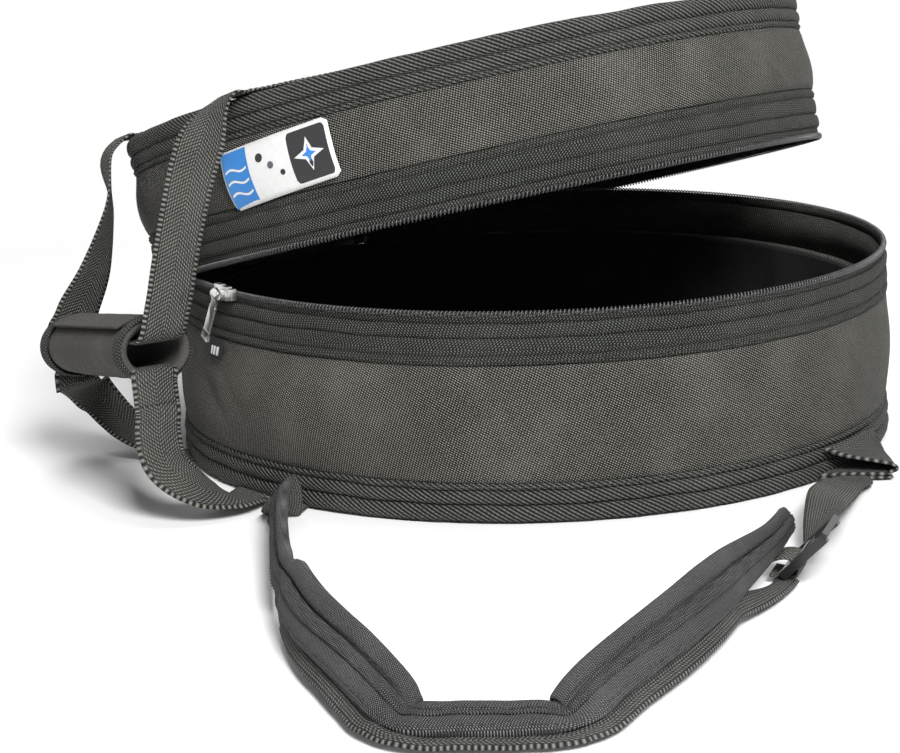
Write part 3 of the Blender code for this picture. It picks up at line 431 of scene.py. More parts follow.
def hard_material(name, colour, metallic, rough, swing, depth, scale=300.0):
    """A smooth material whose roughness and surface vary a little."""
    made, wiring, shader = material(name)
    where = wiring.put("ShaderNodeTexCoord").outputs["Object"]
    cloudy = wiring.noise(where, scale, 4.0, 0.65)
    darker = tuple(c * HOLLOW_SHADE for c in colour)
    wiring.set(shader.inputs["Base Color"], wiring.mix(cloudy, (*darker, 1.0), (*colour, 1.0)))
    shader.inputs["Metallic"].default_value = metallic
    wiring.set(shader.inputs["Roughness"], wiring.math("MULTIPLY_ADD", cloudy, swing, rough))
    wiring.set(shader.inputs["Normal"], bump(wiring, wiring.noise(where, scale * SKIN_SCALE, 3.0, 0.6), depth))
    return made


METAL = hard_material("slider_metal", (0.86, 0.85, 0.83), 1.0, 0.24, 0.16, 0.00004)
COIL = hard_material("zip_coil", (0.060, 0.060, 0.060), 0.0, 0.16, 0.18, 0.00005)
PLASTIC = hard_material("buckle_plastic", (0.016, 0.016, 0.017), 0.0, 0.12, 0.16, 0.00006, 180.0)
print("hard materials made")

# %% [markdown]
# ## Sizes and the open lid
# The same few sizes place everything: the two halves' radii and heights, and the lid's tilt.
# The lid is described where it would be when shut, and one matrix swings it open.

# %% Sizes
BASE_RADIUS, BASE_HEIGHT = 0.200, 0.108
LID_RADIUS, LID_HEIGHT = 0.194, 0.0825
WALL = 0.008
BASE_WALL_LOW, BASE_WALL_HIGH = 0.0200, 0.0807
LID_WALL_LOW, LID_WALL_HIGH = 0.1363, 0.1715
HINGE_AZIMUTH = math.radians(137.5)
HINGE_HALF = 0.053
LID_TILT = math.radians(14.6)
LOW_FOLD = Vector((-0.144506, 0.132416, 0.0852))
HIGH_FOLD = Vector((-0.157987, 0.144769, 0.072397))
FOLD_OUT, FOLD_RISE = 0.190, 0.1067
UP = Vector((0.0, 0.0, 1.0))


def heading(azimuth):
    """The level direction at an azimuth."""
    return Vector((math.cos(azimuth), math.sin(azimuth), 0.0))


def across_heading(azimuth):
    """The level direction a quarter turn on from an azimuth."""
    return Vector((-math.sin(azimuth), math.cos(azimuth), 0.0))


OUT, ALONG = heading(HINGE_AZIMUTH), across_heading(HINGE_AZIMUTH)
lid_swing = Matrix.Rotation(LID_TILT, 4, ALONG)
lid_open = Matrix.Translation(HIGH_FOLD) @ lid_swing @ Matrix.Translation(-(OUT * FOLD_OUT + UP * FOLD_RISE))
lid_turn = lid_open.to_3x3()
LID_FLOOR = 0.109
LID_TOP = LID_FLOOR + LID_HEIGHT
NOTCH = math.asin(HINGE_HALF / BASE_RADIUS)
NOTCH_END, NOTCH_START = HINGE_AZIMUTH + NOTCH, HINGE_AZIMUTH - NOTCH + math.tau
print("base", BASE_HEIGHT, "m high, lid top at", round(LID_TOP, 4), "m when shut")

# %% [markdown]
# ## One mesh builder for all soft strips and shells
# Walls, tapes, webbing and pads are all rows of points: a section carried along a path. Building
# them as a grid keeps the faces even, and lets us store the map in metres at the same time.

# %% Places and curves
def ring_at(azimuth, radius, height):
    """The point at an azimuth, radius and height about the bag's axis."""
    return Vector((radius * math.cos(azimuth), radius * math.sin(azimuth), height))


def smooth(points, steps):
    """A Catmull-Rom curve through the points, with so many steps a span."""
    padded = [2.0 * points[0] - points[1], *points, 2.0 * points[-1] - points[-2]]
    curve = []
    for index in range(1, len(padded) - 2):
        before, first, second, after = padded[index - 1:index + 3]
        for step in range(steps):
            t = step / steps
            curve.append(0.5 * (2.0 * first + (second - before) * t
                                + (2.0 * before - 5.0 * first + 4.0 * second - after) * t * t
                                + (3.0 * first - before - 3.0 * second + after) * t ** 3))
    curve.append(points[-1].copy())
    return curve


def way_at(line, index):
    """The direction of a line of points at one of them."""
    return (line[min(index + 1, len(line) - 1)] - line[max(index - 1, 0)]).normalized()


def carried(points, matrix):
    """An array of points moved by a matrix, if there is one."""
    if matrix is None:
        return np.asarray(points)
    m = np.array(matrix)
    return np.asarray(points) @ m[:3, :3].T + m[:3, 3]


def soften(x, y, z, size, seed):
    """Smooth noise from minus one to one at a place, with features of the given size."""
    return noise.noise(Vector((x / size + seed * 13.7, y / size - seed * 7.1, z / size + seed * 3.3)))


def eased(share):
    """A smooth step from 0 to 1."""
    share = min(max(share, 0.0), 1.0)
    return share * share * (3.0 - 2.0 * share)


def there_and_back(values):
    """Values for a flat strip's section: over its upper side, then back under it."""
    return np.concatenate([values, values[::-1]])


# %% Objects from meshes
MERGE = 0.00001


def tidied(mesh, merge=None):
    """Merges doubled points, where asked, and turns the faces outwards."""
    shape = bmesh.new()
    shape.from_mesh(mesh)
    if merge:
        bmesh.ops.remove_doubles(shape, verts=shape.verts, dist=merge)
    bmesh.ops.recalc_face_normals(shape, faces=shape.faces)
    shape.to_mesh(mesh)
    shape.free()


def new_piece(name, mesh, surface, body=None):
    """An object for a mesh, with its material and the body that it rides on."""
    mesh.materials.append(surface)
    made = bpy.data.objects.new(name, mesh)
    bpy.context.scene.collection.objects.link(made)
    if body:
        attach(made, body)
    return made


# %% Grid piece
def running(points, axis):
    """Metres from the start of a grid, along its rows or across them, and once round."""
    steps = np.linalg.norm(np.roll(points, -1, axis) - points, axis=2).mean(1 - axis)
    return np.concatenate([[0.0], np.cumsum(steps)])


def grid_piece(name, points, surface, body=None, loop_rows=False, loop_section=False, across=None, along=None,
               ends=False, replaces=(), flat_map=None):
    """A mesh from rows of points, each row one section. It stores metres along and across as a map."""
    if not isinstance(points, np.ndarray):
        points = np.array([[tuple(p) for p in row] for row in points], float)
    rows, section = points.shape[:2]
    along = running(points, 0) if along is None else along
    if across is None:
        across = running(points, 1)
    elif len(across) == section:
        across = np.append(across, across[0])
    i, j = np.meshgrid(np.arange(rows if loop_rows else rows - 1),
                       np.arange(section if loop_section else section - 1), indexing="ij")
    i, j = i.ravel(), j.ravel()
    i2, j2 = (i + 1) % rows, (j + 1) % section
    faces = np.stack([i * section + j, i2 * section + j, i2 * section + j2, i * section + j2], 1).tolist()
    corner_steps = ((0, 0), (1, 0), (1, 1), (0, 1))
    maps = np.stack([np.stack([along[i + di], across[j + dj]], 1) for di, dj in corner_steps], 1)
    maps = maps.reshape(-1, 2)
    if ends:
        faces += [list(range(section))[::-1], [(rows - 1) * section + k for k in range(section)]]
        maps = np.concatenate([maps, np.stack([np.full(section, along[0]), across[:section][::-1]], 1),
                               np.stack([np.full(section, along[rows - 1]), across[:section]], 1)])
    mesh = bpy.data.meshes.new(name)
    mesh.from_pydata(points.reshape(-1, 3).tolist(), [], faces)
    if flat_map is not None:
        corners = np.array([v.co for v in mesh.vertices])[[loop.vertex_index for loop in mesh.loops]]
        maps = np.stack([corners @ np.array(way) for way in flat_map], 1)
    mesh.uv_layers.new(name="metres").uv.foreach_set("vector", maps.astype(np.float32).ravel())
    tidied(mesh)
    mesh.shade_smooth()
    made = new_piece(name, mesh, surface, body)
    if replaces:
        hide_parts(*replaces)
    return made


# %% Rings about the bag's axis
def resampled(profile, spacing):
    """A closed outline of (radius, height) points with extra points at the given spacing."""
    made = []
    for (r1, z1), (r2, z2) in zip(profile, profile[1:] + profile[:1]):
        parts = max(1, round(math.hypot(r2 - r1, z2 - z1) / spacing))
        made += [(r1 + (r2 - r1) * k / parts, z1 + (z2 - z1) * k / parts) for k in range(parts)]
    return made


def ring_cloth(name, profile, surface, body, start=0.0, end=math.tau, steps=360, swell=None, matrix=None,
               **words):
    """A ring of cloth: a closed section carried about the bag's axis, with an optional swell outwards."""
    full = end - start > math.tau - 1e-6
    azimuths = np.linspace(start, end, steps + 1)[:-1] if full else np.linspace(start, end, steps + 1)
    rows = np.zeros((len(azimuths), len(profile), 3))
    for i, azimuth in enumerate(azimuths):
        for j, (radius, height) in enumerate(profile):
            away, lift = swell(azimuth, radius, height) if swell else (0.0, 0.0)
            rows[i, j] = ring_at(azimuth, radius + away, height + lift)
    along = (np.append(azimuths, azimuths[0] + math.tau) - azimuths[0]) * BASE_RADIUS
    return grid_piece(name, carried(rows, matrix), surface, body, loop_rows=full, loop_section=True,
                      ends=not full, along=along, **words)


# %% [markdown]
# ## Padded walls
# A foam-filled wall is tight at its seams and soft between them. It bulges a few millimetres,
# sags a little below its middle, and shows slanting drag lines where the cloth was eased into
# the seam. One could sculpt these by hand. Here smooth noise does it: broad waves for the foam,
# slanted ones for the drag lines, and short puckers that die out a few millimetres from a seam.

# %% Padded walls
FOAM_WAVE, FOAM_DEEP = 0.065, 0.0026
DRAG_WAVE, DRAG_DEEP, DRAG_FROM = 0.022, 0.0042, 0.10
PUCKER_WAVE, PUCKER_DEEP, PUCKER_FADE = 0.0065, 0.0012, 0.0045
WALL_TUCK, WALL_SPACING = 0.0010, 0.0030
BELLY_SAG = 0.85


def wall_belly(z, low, high):
    """The rounded rise of a wall between its seams, from 0 to 1, with its middle a little low."""
    return math.sin(math.pi * min(max((z - low) / (high - low), 0.0), 1.0) ** BELLY_SAG)


def padded_wall(name, radius, low, high, body, seed, bulge, replaced, matrix=None):
    """A wall's closed section, swollen between its seams and rounded where it tucks under the tapes."""
    def swell(azimuth, r, z):
        if r < radius - 0.002:
            return 0.0, 0.0
        belly = wall_belly(z, low, high)
        share = min(max((z - low) / (high - low), 0.0), 1.0)
        x, y, s = radius * math.cos(azimuth), radius * math.sin(azimuth), azimuth * radius
        foam = soften(x, y, z, FOAM_WAVE, seed) * FOAM_DEEP
        drag = soften(s + z * 1.1, z * 0.5, seed, DRAG_WAVE, seed + 1.0)
        drag = -max(0.0, drag - DRAG_FROM) * DRAG_DEEP * min(1.0, share * 2.2)
        from_seam = max(min(z - low, high - z), 0.0)
        pucker = math.exp(-from_seam / PUCKER_FADE) * soften(s, 0.0, z, PUCKER_WAVE, seed + 2.0) * PUCKER_DEEP
        return belly * (bulge + foam + drag) + pucker * min(1.0, belly * 4.0), 0.0

    inner = radius - WALL
    section = resampled([(radius - WALL_TUCK, high), (radius, high - WALL_TUCK), (radius, low + WALL_TUCK),
                         (radius - WALL_TUCK, low), (inner, low), (inner, high)], WALL_SPACING)
    made = ring_cloth(name, section, TWILL, body, steps=420, swell=swell, matrix=matrix, replaces=[replaced])
    return made


base_wall = padded_wall("base_wall_cloth", BASE_RADIUS, BASE_WALL_LOW, BASE_WALL_HIGH, "base", 1.0, 0.0028,
                        "base_side_wall")
lid_wall = padded_wall("lid_wall_cloth", LID_RADIUS, LID_WALL_LOW, LID_WALL_HIGH, "lid", 5.0, 0.0026,
                       "lid_side_wall", lid_open)
print("walls made, outside diameter", BASE_RADIUS * 2.0, "m")

# %% [markdown]
# ## Bindings
# Both ends of each wall are bound in tape. Around the flat faces the tape is doubled over the
# raw edge, which gives two soft ridges and a narrow flat strip that carries the stitches. The
# rims have the same strip, two flatter ridges, and the zip above them.

# %% Binding helpers
def ridges(rows, radius, above=0.0):
    """The outline of several rounded ridges on a wall. Each row: the ridge's middle, half its height,
    how far it stands out, how deep its root lies and its number of points."""
    made = []
    for middle, half, stand, root, points in rows:
        for k in range(points):
            angle = math.pi * k / (points - 1)
            out = radius - root + stand * math.sin(angle) ** 0.7
            made.append((out, above + middle + half * math.cos(angle)))
    return made


def tape_swell(size, seed, amount=0.0006):
    """Small uneven puffs along a binding."""
    def swell(azimuth, r, z):
        s = azimuth * BASE_RADIUS
        return soften(s, z, 0.0, size, seed) * amount, soften(s, z, 4.0, size * 2.0, seed + 3.0) * amount
    return swell


EDGE_PUFF, RIM_PUFF = 0.011, 0.012
UNDER_TAPE = 0.004

# %% Bindings of the base
BASE_EDGE_RIDGES = ((0.01865, 0.00175, 0.0012, 0.0002, 5), (0.0131, 0.0037, 0.0026, 0.0008, 7),
                    (0.0048, 0.0045, 0.0030, 0.0010, 7))
BASE_RIM_RIDGES = ((0.0983, 0.0035, 0.0018, 0.0010, 7), (0.0900, 0.0042, 0.0014, 0.0006, 7),
                   (0.0832, 0.0022, 0.0009, 0.0001, 5))
base_binding = ridges(BASE_EDGE_RIDGES, BASE_RADIUS) + [
    (BASE_RADIUS - 0.003, 0.0002), (BASE_RADIUS - WALL, 0.0002), (BASE_RADIUS - WALL, BASE_WALL_LOW)]
ring_cloth("base_floor_tape", base_binding, BOLD_TAPE, "base", steps=420, swell=tape_swell(EDGE_PUFF, 2.0),
           replaces=["base_floor_binding"])
base_rim = ridges(BASE_RIM_RIDGES, BASE_RADIUS)
base_rim += [(BASE_RADIUS - UNDER_TAPE, 0.0809), (BASE_RADIUS - UNDER_TAPE, 0.1017)]
ring_cloth("base_rim_tape", base_rim, TAPE, "base", start=NOTCH_END, end=NOTCH_START,
           swell=tape_swell(RIM_PUFF, 7.0), replaces=["base_rim_band"])
print("base bound, with", len(BASE_EDGE_RIDGES) + len(BASE_RIM_RIDGES), "ridges")

# %% Bindings of the lid
LID_EDGE_RIDGES = ((-0.0050, 0.0046, 0.0030, 0.0010, 7), (-0.0133, 0.0036, 0.0024, 0.0008, 7),
                   (-0.01860, 0.00160, 0.0011, 0.0002, 5))
LID_RIM_RIDGES = ((0.1341, 0.0022, 0.0009, 0.0001, 5), (0.1273, 0.0042, 0.0014, 0.0006, 7),
                  (0.1190, 0.0037, 0.0018, 0.0010, 7))
lid_binding = [(LID_RADIUS - WALL, LID_TOP - 0.0006), (LID_RADIUS - UNDER_TAPE, LID_TOP - 0.0002)]
lid_binding += ridges(LID_EDGE_RIDGES, LID_RADIUS, LID_TOP) + [(LID_RADIUS - WALL, LID_TOP - 0.0200)]
ring_cloth("lid_top_tape", lid_binding, BOLD_TAPE, "lid", steps=420, swell=tape_swell(EDGE_PUFF, 3.0),
           matrix=lid_open, replaces=["lid_top_binding"])
lid_rim = ridges(LID_RIM_RIDGES, LID_RADIUS)
lid_rim += [(LID_RADIUS - UNDER_TAPE, 0.1154), (LID_RADIUS - UNDER_TAPE, 0.1361)]
ring_cloth("lid_rim_tape", lid_rim, TAPE, "lid", steps=420, swell=tape_swell(RIM_PUFF, 8.0), matrix=lid_open,
           replaces=["lid_rim_band"])
print("lid bound, with", len(LID_EDGE_RIDGES) + len(LID_RIM_RIDGES), "ridges")

# %% [markdown]
# ## The flat faces
# The lid's top is a quilted disc that crowns a little. The underside is flat because it rests on
# the floor. Rings that lie closer together near the edge give the crown a smooth fall there.

# %% Discs
DISC_WAVE = 0.055
LID_CROWN, LID_SEED = 0.0030, 4.0
LID_CLOTH = LID_TOP - 0.0006


def crowned(x, y, radius, crown, seed):
    """How high a crowned disc stands at a place, with gentle unevenness that fades at its edge."""
    share = min(1.0, math.hypot(x, y) / radius)
    return crown * (1.0 - share ** 4) + soften(x, y, 0.0, DISC_WAVE, seed) * crown * 0.5 * (1.0 - share ** 6)


def disc(name, radius, height, crown, body, seed, thick, replaced, matrix=None):
    """A closed round pad whose upper side crowns, with the map laid flat across it."""
    rings, steps = 26, 160
    radii = [radius * (k / rings) ** 0.8 for k in range(rings + 1)]
    rows = []
    for step in range(steps):
        azimuth = math.tau * step / steps
        row = [ring_at(azimuth, r, height) for r in radii]
        for place in row:
            place.z += crowned(place.x, place.y, radius, crown, seed)
        rows.append(row + [ring_at(azimuth, radius, height - thick), Vector((0.0, 0.0, height - thick))])
    turned = np.array(matrix.to_3x3() if matrix else Matrix.Identity(3))
    points = carried([[tuple(p) for p in row] for row in rows], matrix)
    made = grid_piece(name, points, TWILL, body, loop_rows=True, flat_map=(turned[:, 0], turned[:, 1]),
                      replaces=[replaced])
    tidied(made.data, MERGE)
    made.data.set_sharp_from_angle(angle=math.radians(60.0))
    return made


lid_pad = disc("lid_top_cloth", LID_RADIUS - WALL + 0.0006, LID_CLOTH, LID_CROWN, "lid", LID_SEED, 0.006,
               "lid_top_panel", lid_open)
base_pad = disc("base_floor_cloth", BASE_RADIUS - WALL + 0.0004, 0.0079, 0.0, "base", 6.0, 0.0077,
                "base_floor_panel")
print("discs made")

# %% [markdown]
# ## The lining
# The lining is thin slick nylon. It follows the walls with shallow folds that lift off in the
# middle and are held at the floor and at the rim.

# %% Lining
FOLD_WAVE, BULGE_WAVE, FOLD_DEEP = 0.020, 0.060, 0.0030
FLOOR_WAVE, FLOOR_LIFT = 0.050, 0.0016


def lining(name, outer, wall_top, floor_at, sign, body, seed, replaced, matrix=None):
    """A thin tub of lining cloth: a skin across the flat end and up the wall, closed by a second skin."""
    skin = [(outer * (k / 12.0) ** 0.9 - 0.004 * (k / 12.0), floor_at) for k in range(13)]
    skin += [(outer - 0.0025, floor_at + sign * 0.0008), (outer - 0.0008, floor_at + sign * 0.0028)]
    skin += [(outer - 0.0003, floor_at + (wall_top - floor_at) * t) for t in np.linspace(0.08, 1.0, 22)]
    steps = 300
    rows = []
    for step in range(steps):
        azimuth = math.tau * step / steps
        row, hidden = [], []
        for r, z in skin:
            x, y = r * math.cos(azimuth), r * math.sin(azimuth)
            rise = abs(z - floor_at) / abs(wall_top - floor_at)
            folds = max(0.0, soften(azimuth * outer, z * 0.35, 0.0, FOLD_WAVE, seed)) * FOLD_DEEP
            folds += max(0.0, soften(azimuth * outer, z, 2.0, BULGE_WAVE, seed + 1.0)) * FOLD_DEEP
            folds *= min(1.0, rise * 3.0) * min(1.0, (1.0 - rise) * 6.0)
            lift = max(0.0, soften(x, y, 0.0, FLOOR_WAVE, seed + 2.0)) * FLOOR_LIFT if rise < 0.01 else 0.0
            near, far = 1.0 - folds / max(r, 0.02), 1.0 + 0.0006 / max(r, 0.01)
            row.append((x * near, y * near, z + sign * lift))
            hidden.append((x * far, y * far, z - sign * 0.0005))
        rows.append(row + hidden[::-1])
    made = grid_piece(name, carried(rows, matrix), LINING, body, loop_rows=True, loop_section=True,
                      along=np.linspace(0.0, math.tau * outer, steps + 1), replaces=[replaced])
    tidied(made.data, MERGE)
    return made


base_lining = lining("base_lining_cloth", BASE_RADIUS - WALL - 0.0004, 0.0804, 0.0092, 1.0, "base", 9.0,
                     "base_lining")
lid_lining = lining("lid_lining_cloth", LID_RADIUS - WALL - 0.0004, 0.1366, LID_TOP - 0.0095, -1.0, "lid",
                    12.0, "lid_lining", lid_open)
print("linings made")

# %% [markdown]
# ## The zip
# A coil zip is a nylon spiral sewn along a tape. At this scale each turn shows as a small bright
# dot, so the spiral is worth modelling: one thin tube wound round the edge of the tape.

# %% Zip tapes and coils
ZIP_PITCH, COIL_RADIUS, WIRE = 0.0021, 0.00145, 0.00048
COIL_FLAT = 0.85
TAPE_HALF, TAPE_ROUND = 0.0007, 0.0004


def zip_tape(name, radius, low, high, body, replaced, matrix=None):
    """The flat cloth of one half of the zip."""
    section = [(radius + TAPE_HALF, low), (radius + TAPE_HALF, high - TAPE_ROUND), (radius, high),
               (radius - TAPE_HALF, high - TAPE_ROUND), (radius - TAPE_HALF, low)]
    ring_cloth(name, section, TAPE, body, start=NOTCH_END, end=NOTCH_START, steps=320, matrix=matrix,
               replaces=[replaced])


def coil(name, radius, height, body, matrix=None):
    """A spiral wound along the rim: turns of a thin tube, as one mesh."""
    turns = int((NOTCH_START - NOTCH_END) * radius / ZIP_PITCH)
    around, sides = 9, 5
    t = np.arange(turns * around + 1) / around
    azimuth, angle = NOTCH_END + (t * ZIP_PITCH) / radius, t * math.tau
    r, z = radius + COIL_RADIUS * COIL_FLAT * np.cos(angle), height + COIL_RADIUS * np.sin(angle)
    centre = np.stack([r * np.cos(azimuth), r * np.sin(azimuth), z], 1)
    tangent = np.gradient(centre, axis=0)
    tangent /= np.linalg.norm(tangent, axis=1, keepdims=True)
    outward = np.stack([np.cos(azimuth) * np.cos(angle), np.sin(azimuth) * np.cos(angle), np.sin(angle)], 1)
    outward -= tangent * (outward * tangent).sum(1, keepdims=True)
    outward /= np.linalg.norm(outward, axis=1, keepdims=True)
    side = np.cross(tangent, outward)
    rows = np.stack([centre + WIRE * (math.cos(a) * outward + math.sin(a) * side)
                     for a in (math.tau * k / sides for k in range(sides))], 1)
    grid_piece(name, carried(rows, matrix), COIL, body, loop_section=True, ends=True)
    return turns


zip_tape("base_zip_cloth", 0.1980, 0.1012, 0.1072, "base", "base_zip_tape")
zip_tape("lid_zip_cloth", 0.1920, 0.1098, 0.1158, "lid", "lid_zip_tape", lid_open)
base_turns = coil("base_zip_coil", 0.1988, 0.1066, "base")
lid_turns = coil("lid_zip_coil", 0.1928, 0.1104, "lid", lid_open)
print("coils with", base_turns, "and", lid_turns, "turns")

# %% [markdown]
# ## The soft hinge
# A strip of cloth joins the halves at the back. It leaves the base's rim, folds outwards, and
# ends in a piped seam on the lid. It is made as three strips of cloth, and the last one is sewn to the lid.

# %% Hinge strip
HINGE_WIDE, HINGE_THICK = 0.096, 0.0014
HINGE_RIPPLE, RIPPLE_DEEP = 0.008, 0.0004


def hinge_strip(name, route, replaced=()):
    """A strip as wide as the hinge, through a few points of its middle line."""
    line = smooth(route, 5)
    rows = []
    for index, point in enumerate(line):
        face = way_at(line, index).cross(ALONG).normalized()
        row = []
        for top in (1.0, -1.0):
            for k in range(25):
                s = (k / 24.0 - 0.5) * top
                ripple = soften(s * 0.1, index * 0.0009, 0.0, HINGE_RIPPLE, 3.0) * RIPPLE_DEEP
                rise = top * HINGE_THICK / 2.0 * (1.0 - (2.0 * s) ** 8) + ripple
                row.append(point + ALONG * s * HINGE_WIDE + face * rise)
        rows.append(row)
    return grid_piece(name, rows, TWILL, None, loop_section=True, ends=True,
                      across=there_and_back(np.linspace(0.0, HINGE_WIDE, 25)), replaces=replaced)


# %% Hinge cloth
PANEL_DOWN = math.radians(125.0)
panel_way = math.sin(PANEL_DOWN) * OUT + math.cos(PANEL_DOWN) * UP
PANEL_LONG = (HIGH_FOLD - LOW_FOLD).length
panel_middle = LOW_FOLD + panel_way * PANEL_LONG * 0.5
low_cloth = hinge_strip("hinge_cloth_low", [OUT * 0.1975 + UP * 0.0795, OUT * 0.1966 + UP * 0.0830,
                                            LOW_FOLD + UP * 0.0012 + OUT * 0.0012,
                                            LOW_FOLD + panel_way * 0.004, panel_middle], ["hinge_panel"])
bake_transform(low_cloth)
high_cloth = hinge_strip("hinge_cloth_high", [panel_middle, LOW_FOLD + panel_way * PANEL_LONG * 0.8,
                                              HIGH_FOLD - panel_way * 0.001])
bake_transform(high_cloth)
print("hinge panel", round(PANEL_LONG, 4), "m from fold to fold")

# %% Piping and the lid's seam
PIPING_LONG, PIPING_RADIUS, PIPING_SIDES = 0.097, 0.0021, 12
side_out = ALONG.cross(UP).normalized()
side_up = ALONG.cross(side_out)
rows = []
for k in range(21):
    point = HIGH_FOLD + ALONG * (k / 20.0 - 0.5) * PIPING_LONG
    angles = [math.tau * side / PIPING_SIDES for side in range(PIPING_SIDES)]
    rows.append([point + (side_out * math.cos(a) + side_up * math.sin(a)) * PIPING_RADIUS for a in angles])
grid_piece("hinge_piping", rows, HERRING, "welt", loop_section=True, ends=True, replaces=["hinge_welt"])
seam_low, seam_high = (lid_open @ (OUT * FOLD_OUT + UP * z) for z in (0.1088, 0.1160))
seam = hinge_strip("lid_seam_cloth", [seam_low, seam_low.lerp(seam_high, 0.5), seam_high], ["lid_hinge_seam"])
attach(seam, "lid")
print("hinge cloth and piping made")

# %% [markdown]
# ## Webbing strips
# Webbing is a flat ribbon a little under 2 mm thick with rounded edges. A strip is described by
# its middle line and by the direction of its width at each point, so it can lie, hang and twist.

# %% Webbing strip
STRIP_HALF_COUNT = 11
BOW_WAVE = 0.030


def web_strip(name, route, sides, wide, thick, surface, body=None, steps=6, seed=1.0, wave=0.0003, **words):
    """A ribbon along a route. sides holds the direction of the width at each point of the route."""
    line = smooth(route, steps) if steps > 1 else list(route)
    turned = smooth(sides, steps) if steps > 1 else list(sides)
    shares = [2.0 * k / (STRIP_HALF_COUNT - 1) - 1.0 for k in range(STRIP_HALF_COUNT)]
    rows = []
    for index, (point, side) in enumerate(zip(line, turned)):
        way = way_at(line, index)
        side = (side - way * side.dot(way)).normalized()
        face = way.cross(side)
        bow = soften(point.x, point.y, point.z, BOW_WAVE, seed) * wave
        row = []
        for top in (1.0, -1.0):
            for s in (share * top for share in shares):
                edge = (1.0 - abs(s) ** 6) ** 0.5 * 0.85 + 0.15
                rise = top * thick / 2.0 * edge + bow * (1.0 + s * 0.5)
                row.append(point + side * (s * wide / 2.0) + face * rise)
        rows.append(row)
    across = there_and_back(np.linspace(-wide / 2.0, wide / 2.0, STRIP_HALF_COUNT))
    return grid_piece(name, rows, surface, body, loop_section=True, ends=True, across=across, **words)


print("webbing strips have", 2 * STRIP_HALF_COUNT, "points a row")

# %% [markdown]
# ## Stitches
# Every seam shows as a row of short thread humps. Each hump is a tiny capsule half sunk in the
# cloth. They are made as one mesh a row, because hundreds of separate objects would be slow.

# %% Stitches
STITCH_LONG, STITCH_RADIUS, STITCH_SIDES = 0.0024, 0.00030, 6
STITCH_SHARES = ((-0.5, 0.25), (-0.36, 0.9), (0.0, 1.0), (0.36, 0.9), (0.5, 0.25))


def stitch_row(name, places, ways, faces, body):
    """Small capsules at places, each along its way and half sunk in the surface that faces outwards."""
    ring, rings = STITCH_SIDES, len(STITCH_SHARES)
    angles = [math.tau * k / ring for k in range(ring)]
    verts, quads = [], []
    for place, way, face in zip(places, ways, faces):
        way = way.normalized()
        face = (face - way * face.dot(way)).normalized()
        side = way.cross(face)
        start = len(verts)
        for share, wide in STITCH_SHARES:
            middle, radius = place + way * share * STITCH_LONG, wide * STITCH_RADIUS
            verts += [middle + (side * math.cos(a) + face * math.sin(a)) * radius for a in angles]
        for low in (start + p * ring for p in range(rings - 1)):
            quads += [(low + k, low + ring + k, low + ring + (k + 1) % ring, low + (k + 1) % ring)
                      for k in range(ring)]
        quads.append(tuple(start + k for k in range(ring)))
        quads.append(tuple(start + (rings - 1) * ring + k for k in reversed(range(ring))))
    mesh = bpy.data.meshes.new(name)
    mesh.from_pydata(verts, [], quads)
    mesh.uv_layers.new(name="metres")
    mesh.shade_smooth()
    new_piece(name, mesh, THREAD, body)
    return len(places)


# %% Stitches round the bag
RING_SPACING = 0.0036


def ring_stitches(name, radius, height, body, start=0.0, end=math.tau):
    """A row of stitches round the bag; the lid's rows swing open with it."""
    count = int((end - start) * radius / RING_SPACING)
    azimuths = [start + (k + 0.5) * RING_SPACING / radius for k in range(count)]
    moved, turned = (lid_open, lid_turn) if body == "lid" else (Matrix.Identity(4), Matrix.Identity(3))
    return stitch_row(name, [moved @ ring_at(a, radius, height) for a in azimuths],
                      [turned @ across_heading(a) for a in azimuths], [turned @ heading(a) for a in azimuths],
                      body)


stitches = ring_stitches("base_low_stitches", BASE_RADIUS + 0.0011, 0.0187, "base")
stitches += ring_stitches("base_high_stitches", BASE_RADIUS + 0.0009, 0.0832, "base",
                          NOTCH_END, NOTCH_START)
stitches += ring_stitches("lid_high_stitches", LID_RADIUS + 0.0010, LID_TOP - 0.0186, "lid")
stitches += ring_stitches("lid_low_stitches", LID_RADIUS + 0.0009, 0.1341, "lid")
print(stitches, "stitches round the bag")

# %% [markdown]
# ## Places of the handle
# The grip hangs level with the rim at the bag's left. Both webbing bands of the lid leave its top
# in the same direction and turn down to the grip's two mouths.

# %% Handle places
WEB_WIDTH, WEB_THICK = 0.025, 0.0018
GRIP_LENGTH, GRIP_WIDE, GRIP_HIGH, GRIP_WALL = 0.116, 0.0190, 0.0155, 0.0036
GRIP_HALF, BORE_HIGH = GRIP_LENGTH / 2.0, GRIP_HIGH - GRIP_WALL
GRIP_AZIMUTH, GRIP_HEADING, GRIP_DIP, LID_HEADING = (math.radians(v) for v in (206.6, 121.9, 8.45, 33.0))
grip_middle = ring_at(GRIP_AZIMUTH, BASE_RADIUS + 0.0493, 0.077)
grip_along = heading(GRIP_HEADING) * math.cos(GRIP_DIP) - UP * math.sin(GRIP_DIP)
grip_in = grip_along.cross(UP).normalized()
grip_up = grip_in.cross(grip_along)
mouths = {"front": grip_middle - grip_along * GRIP_HALF, "back": grip_middle + grip_along * GRIP_HALF}
into_grip = {"front": grip_along, "back": -grip_along}
inwards, sideways = heading(LID_HEADING), across_heading(LID_HEADING)
lid_out, lid_across = -(lid_turn @ inwards), lid_turn @ sideways
print("grip's middle", [round(v, 4) for v in grip_middle])

# %% [markdown]
# ## Webbing over the lid
# Each band is sewn across the lid's top, so its first part has to follow the crowned cloth. It is
# laid at the height of the highest place under its width, then leaves the edge and hangs. From
# there its places are shares of the way to the grip, which keeps the curve when a size changes.

# %% Lid bands
WEB_FEELERS = (-0.011, 0.0, 0.011)
LID_EDGE, SEWN_LONG, SEWN_LIFT = LID_RADIUS - 0.0015, 0.100, 0.0013
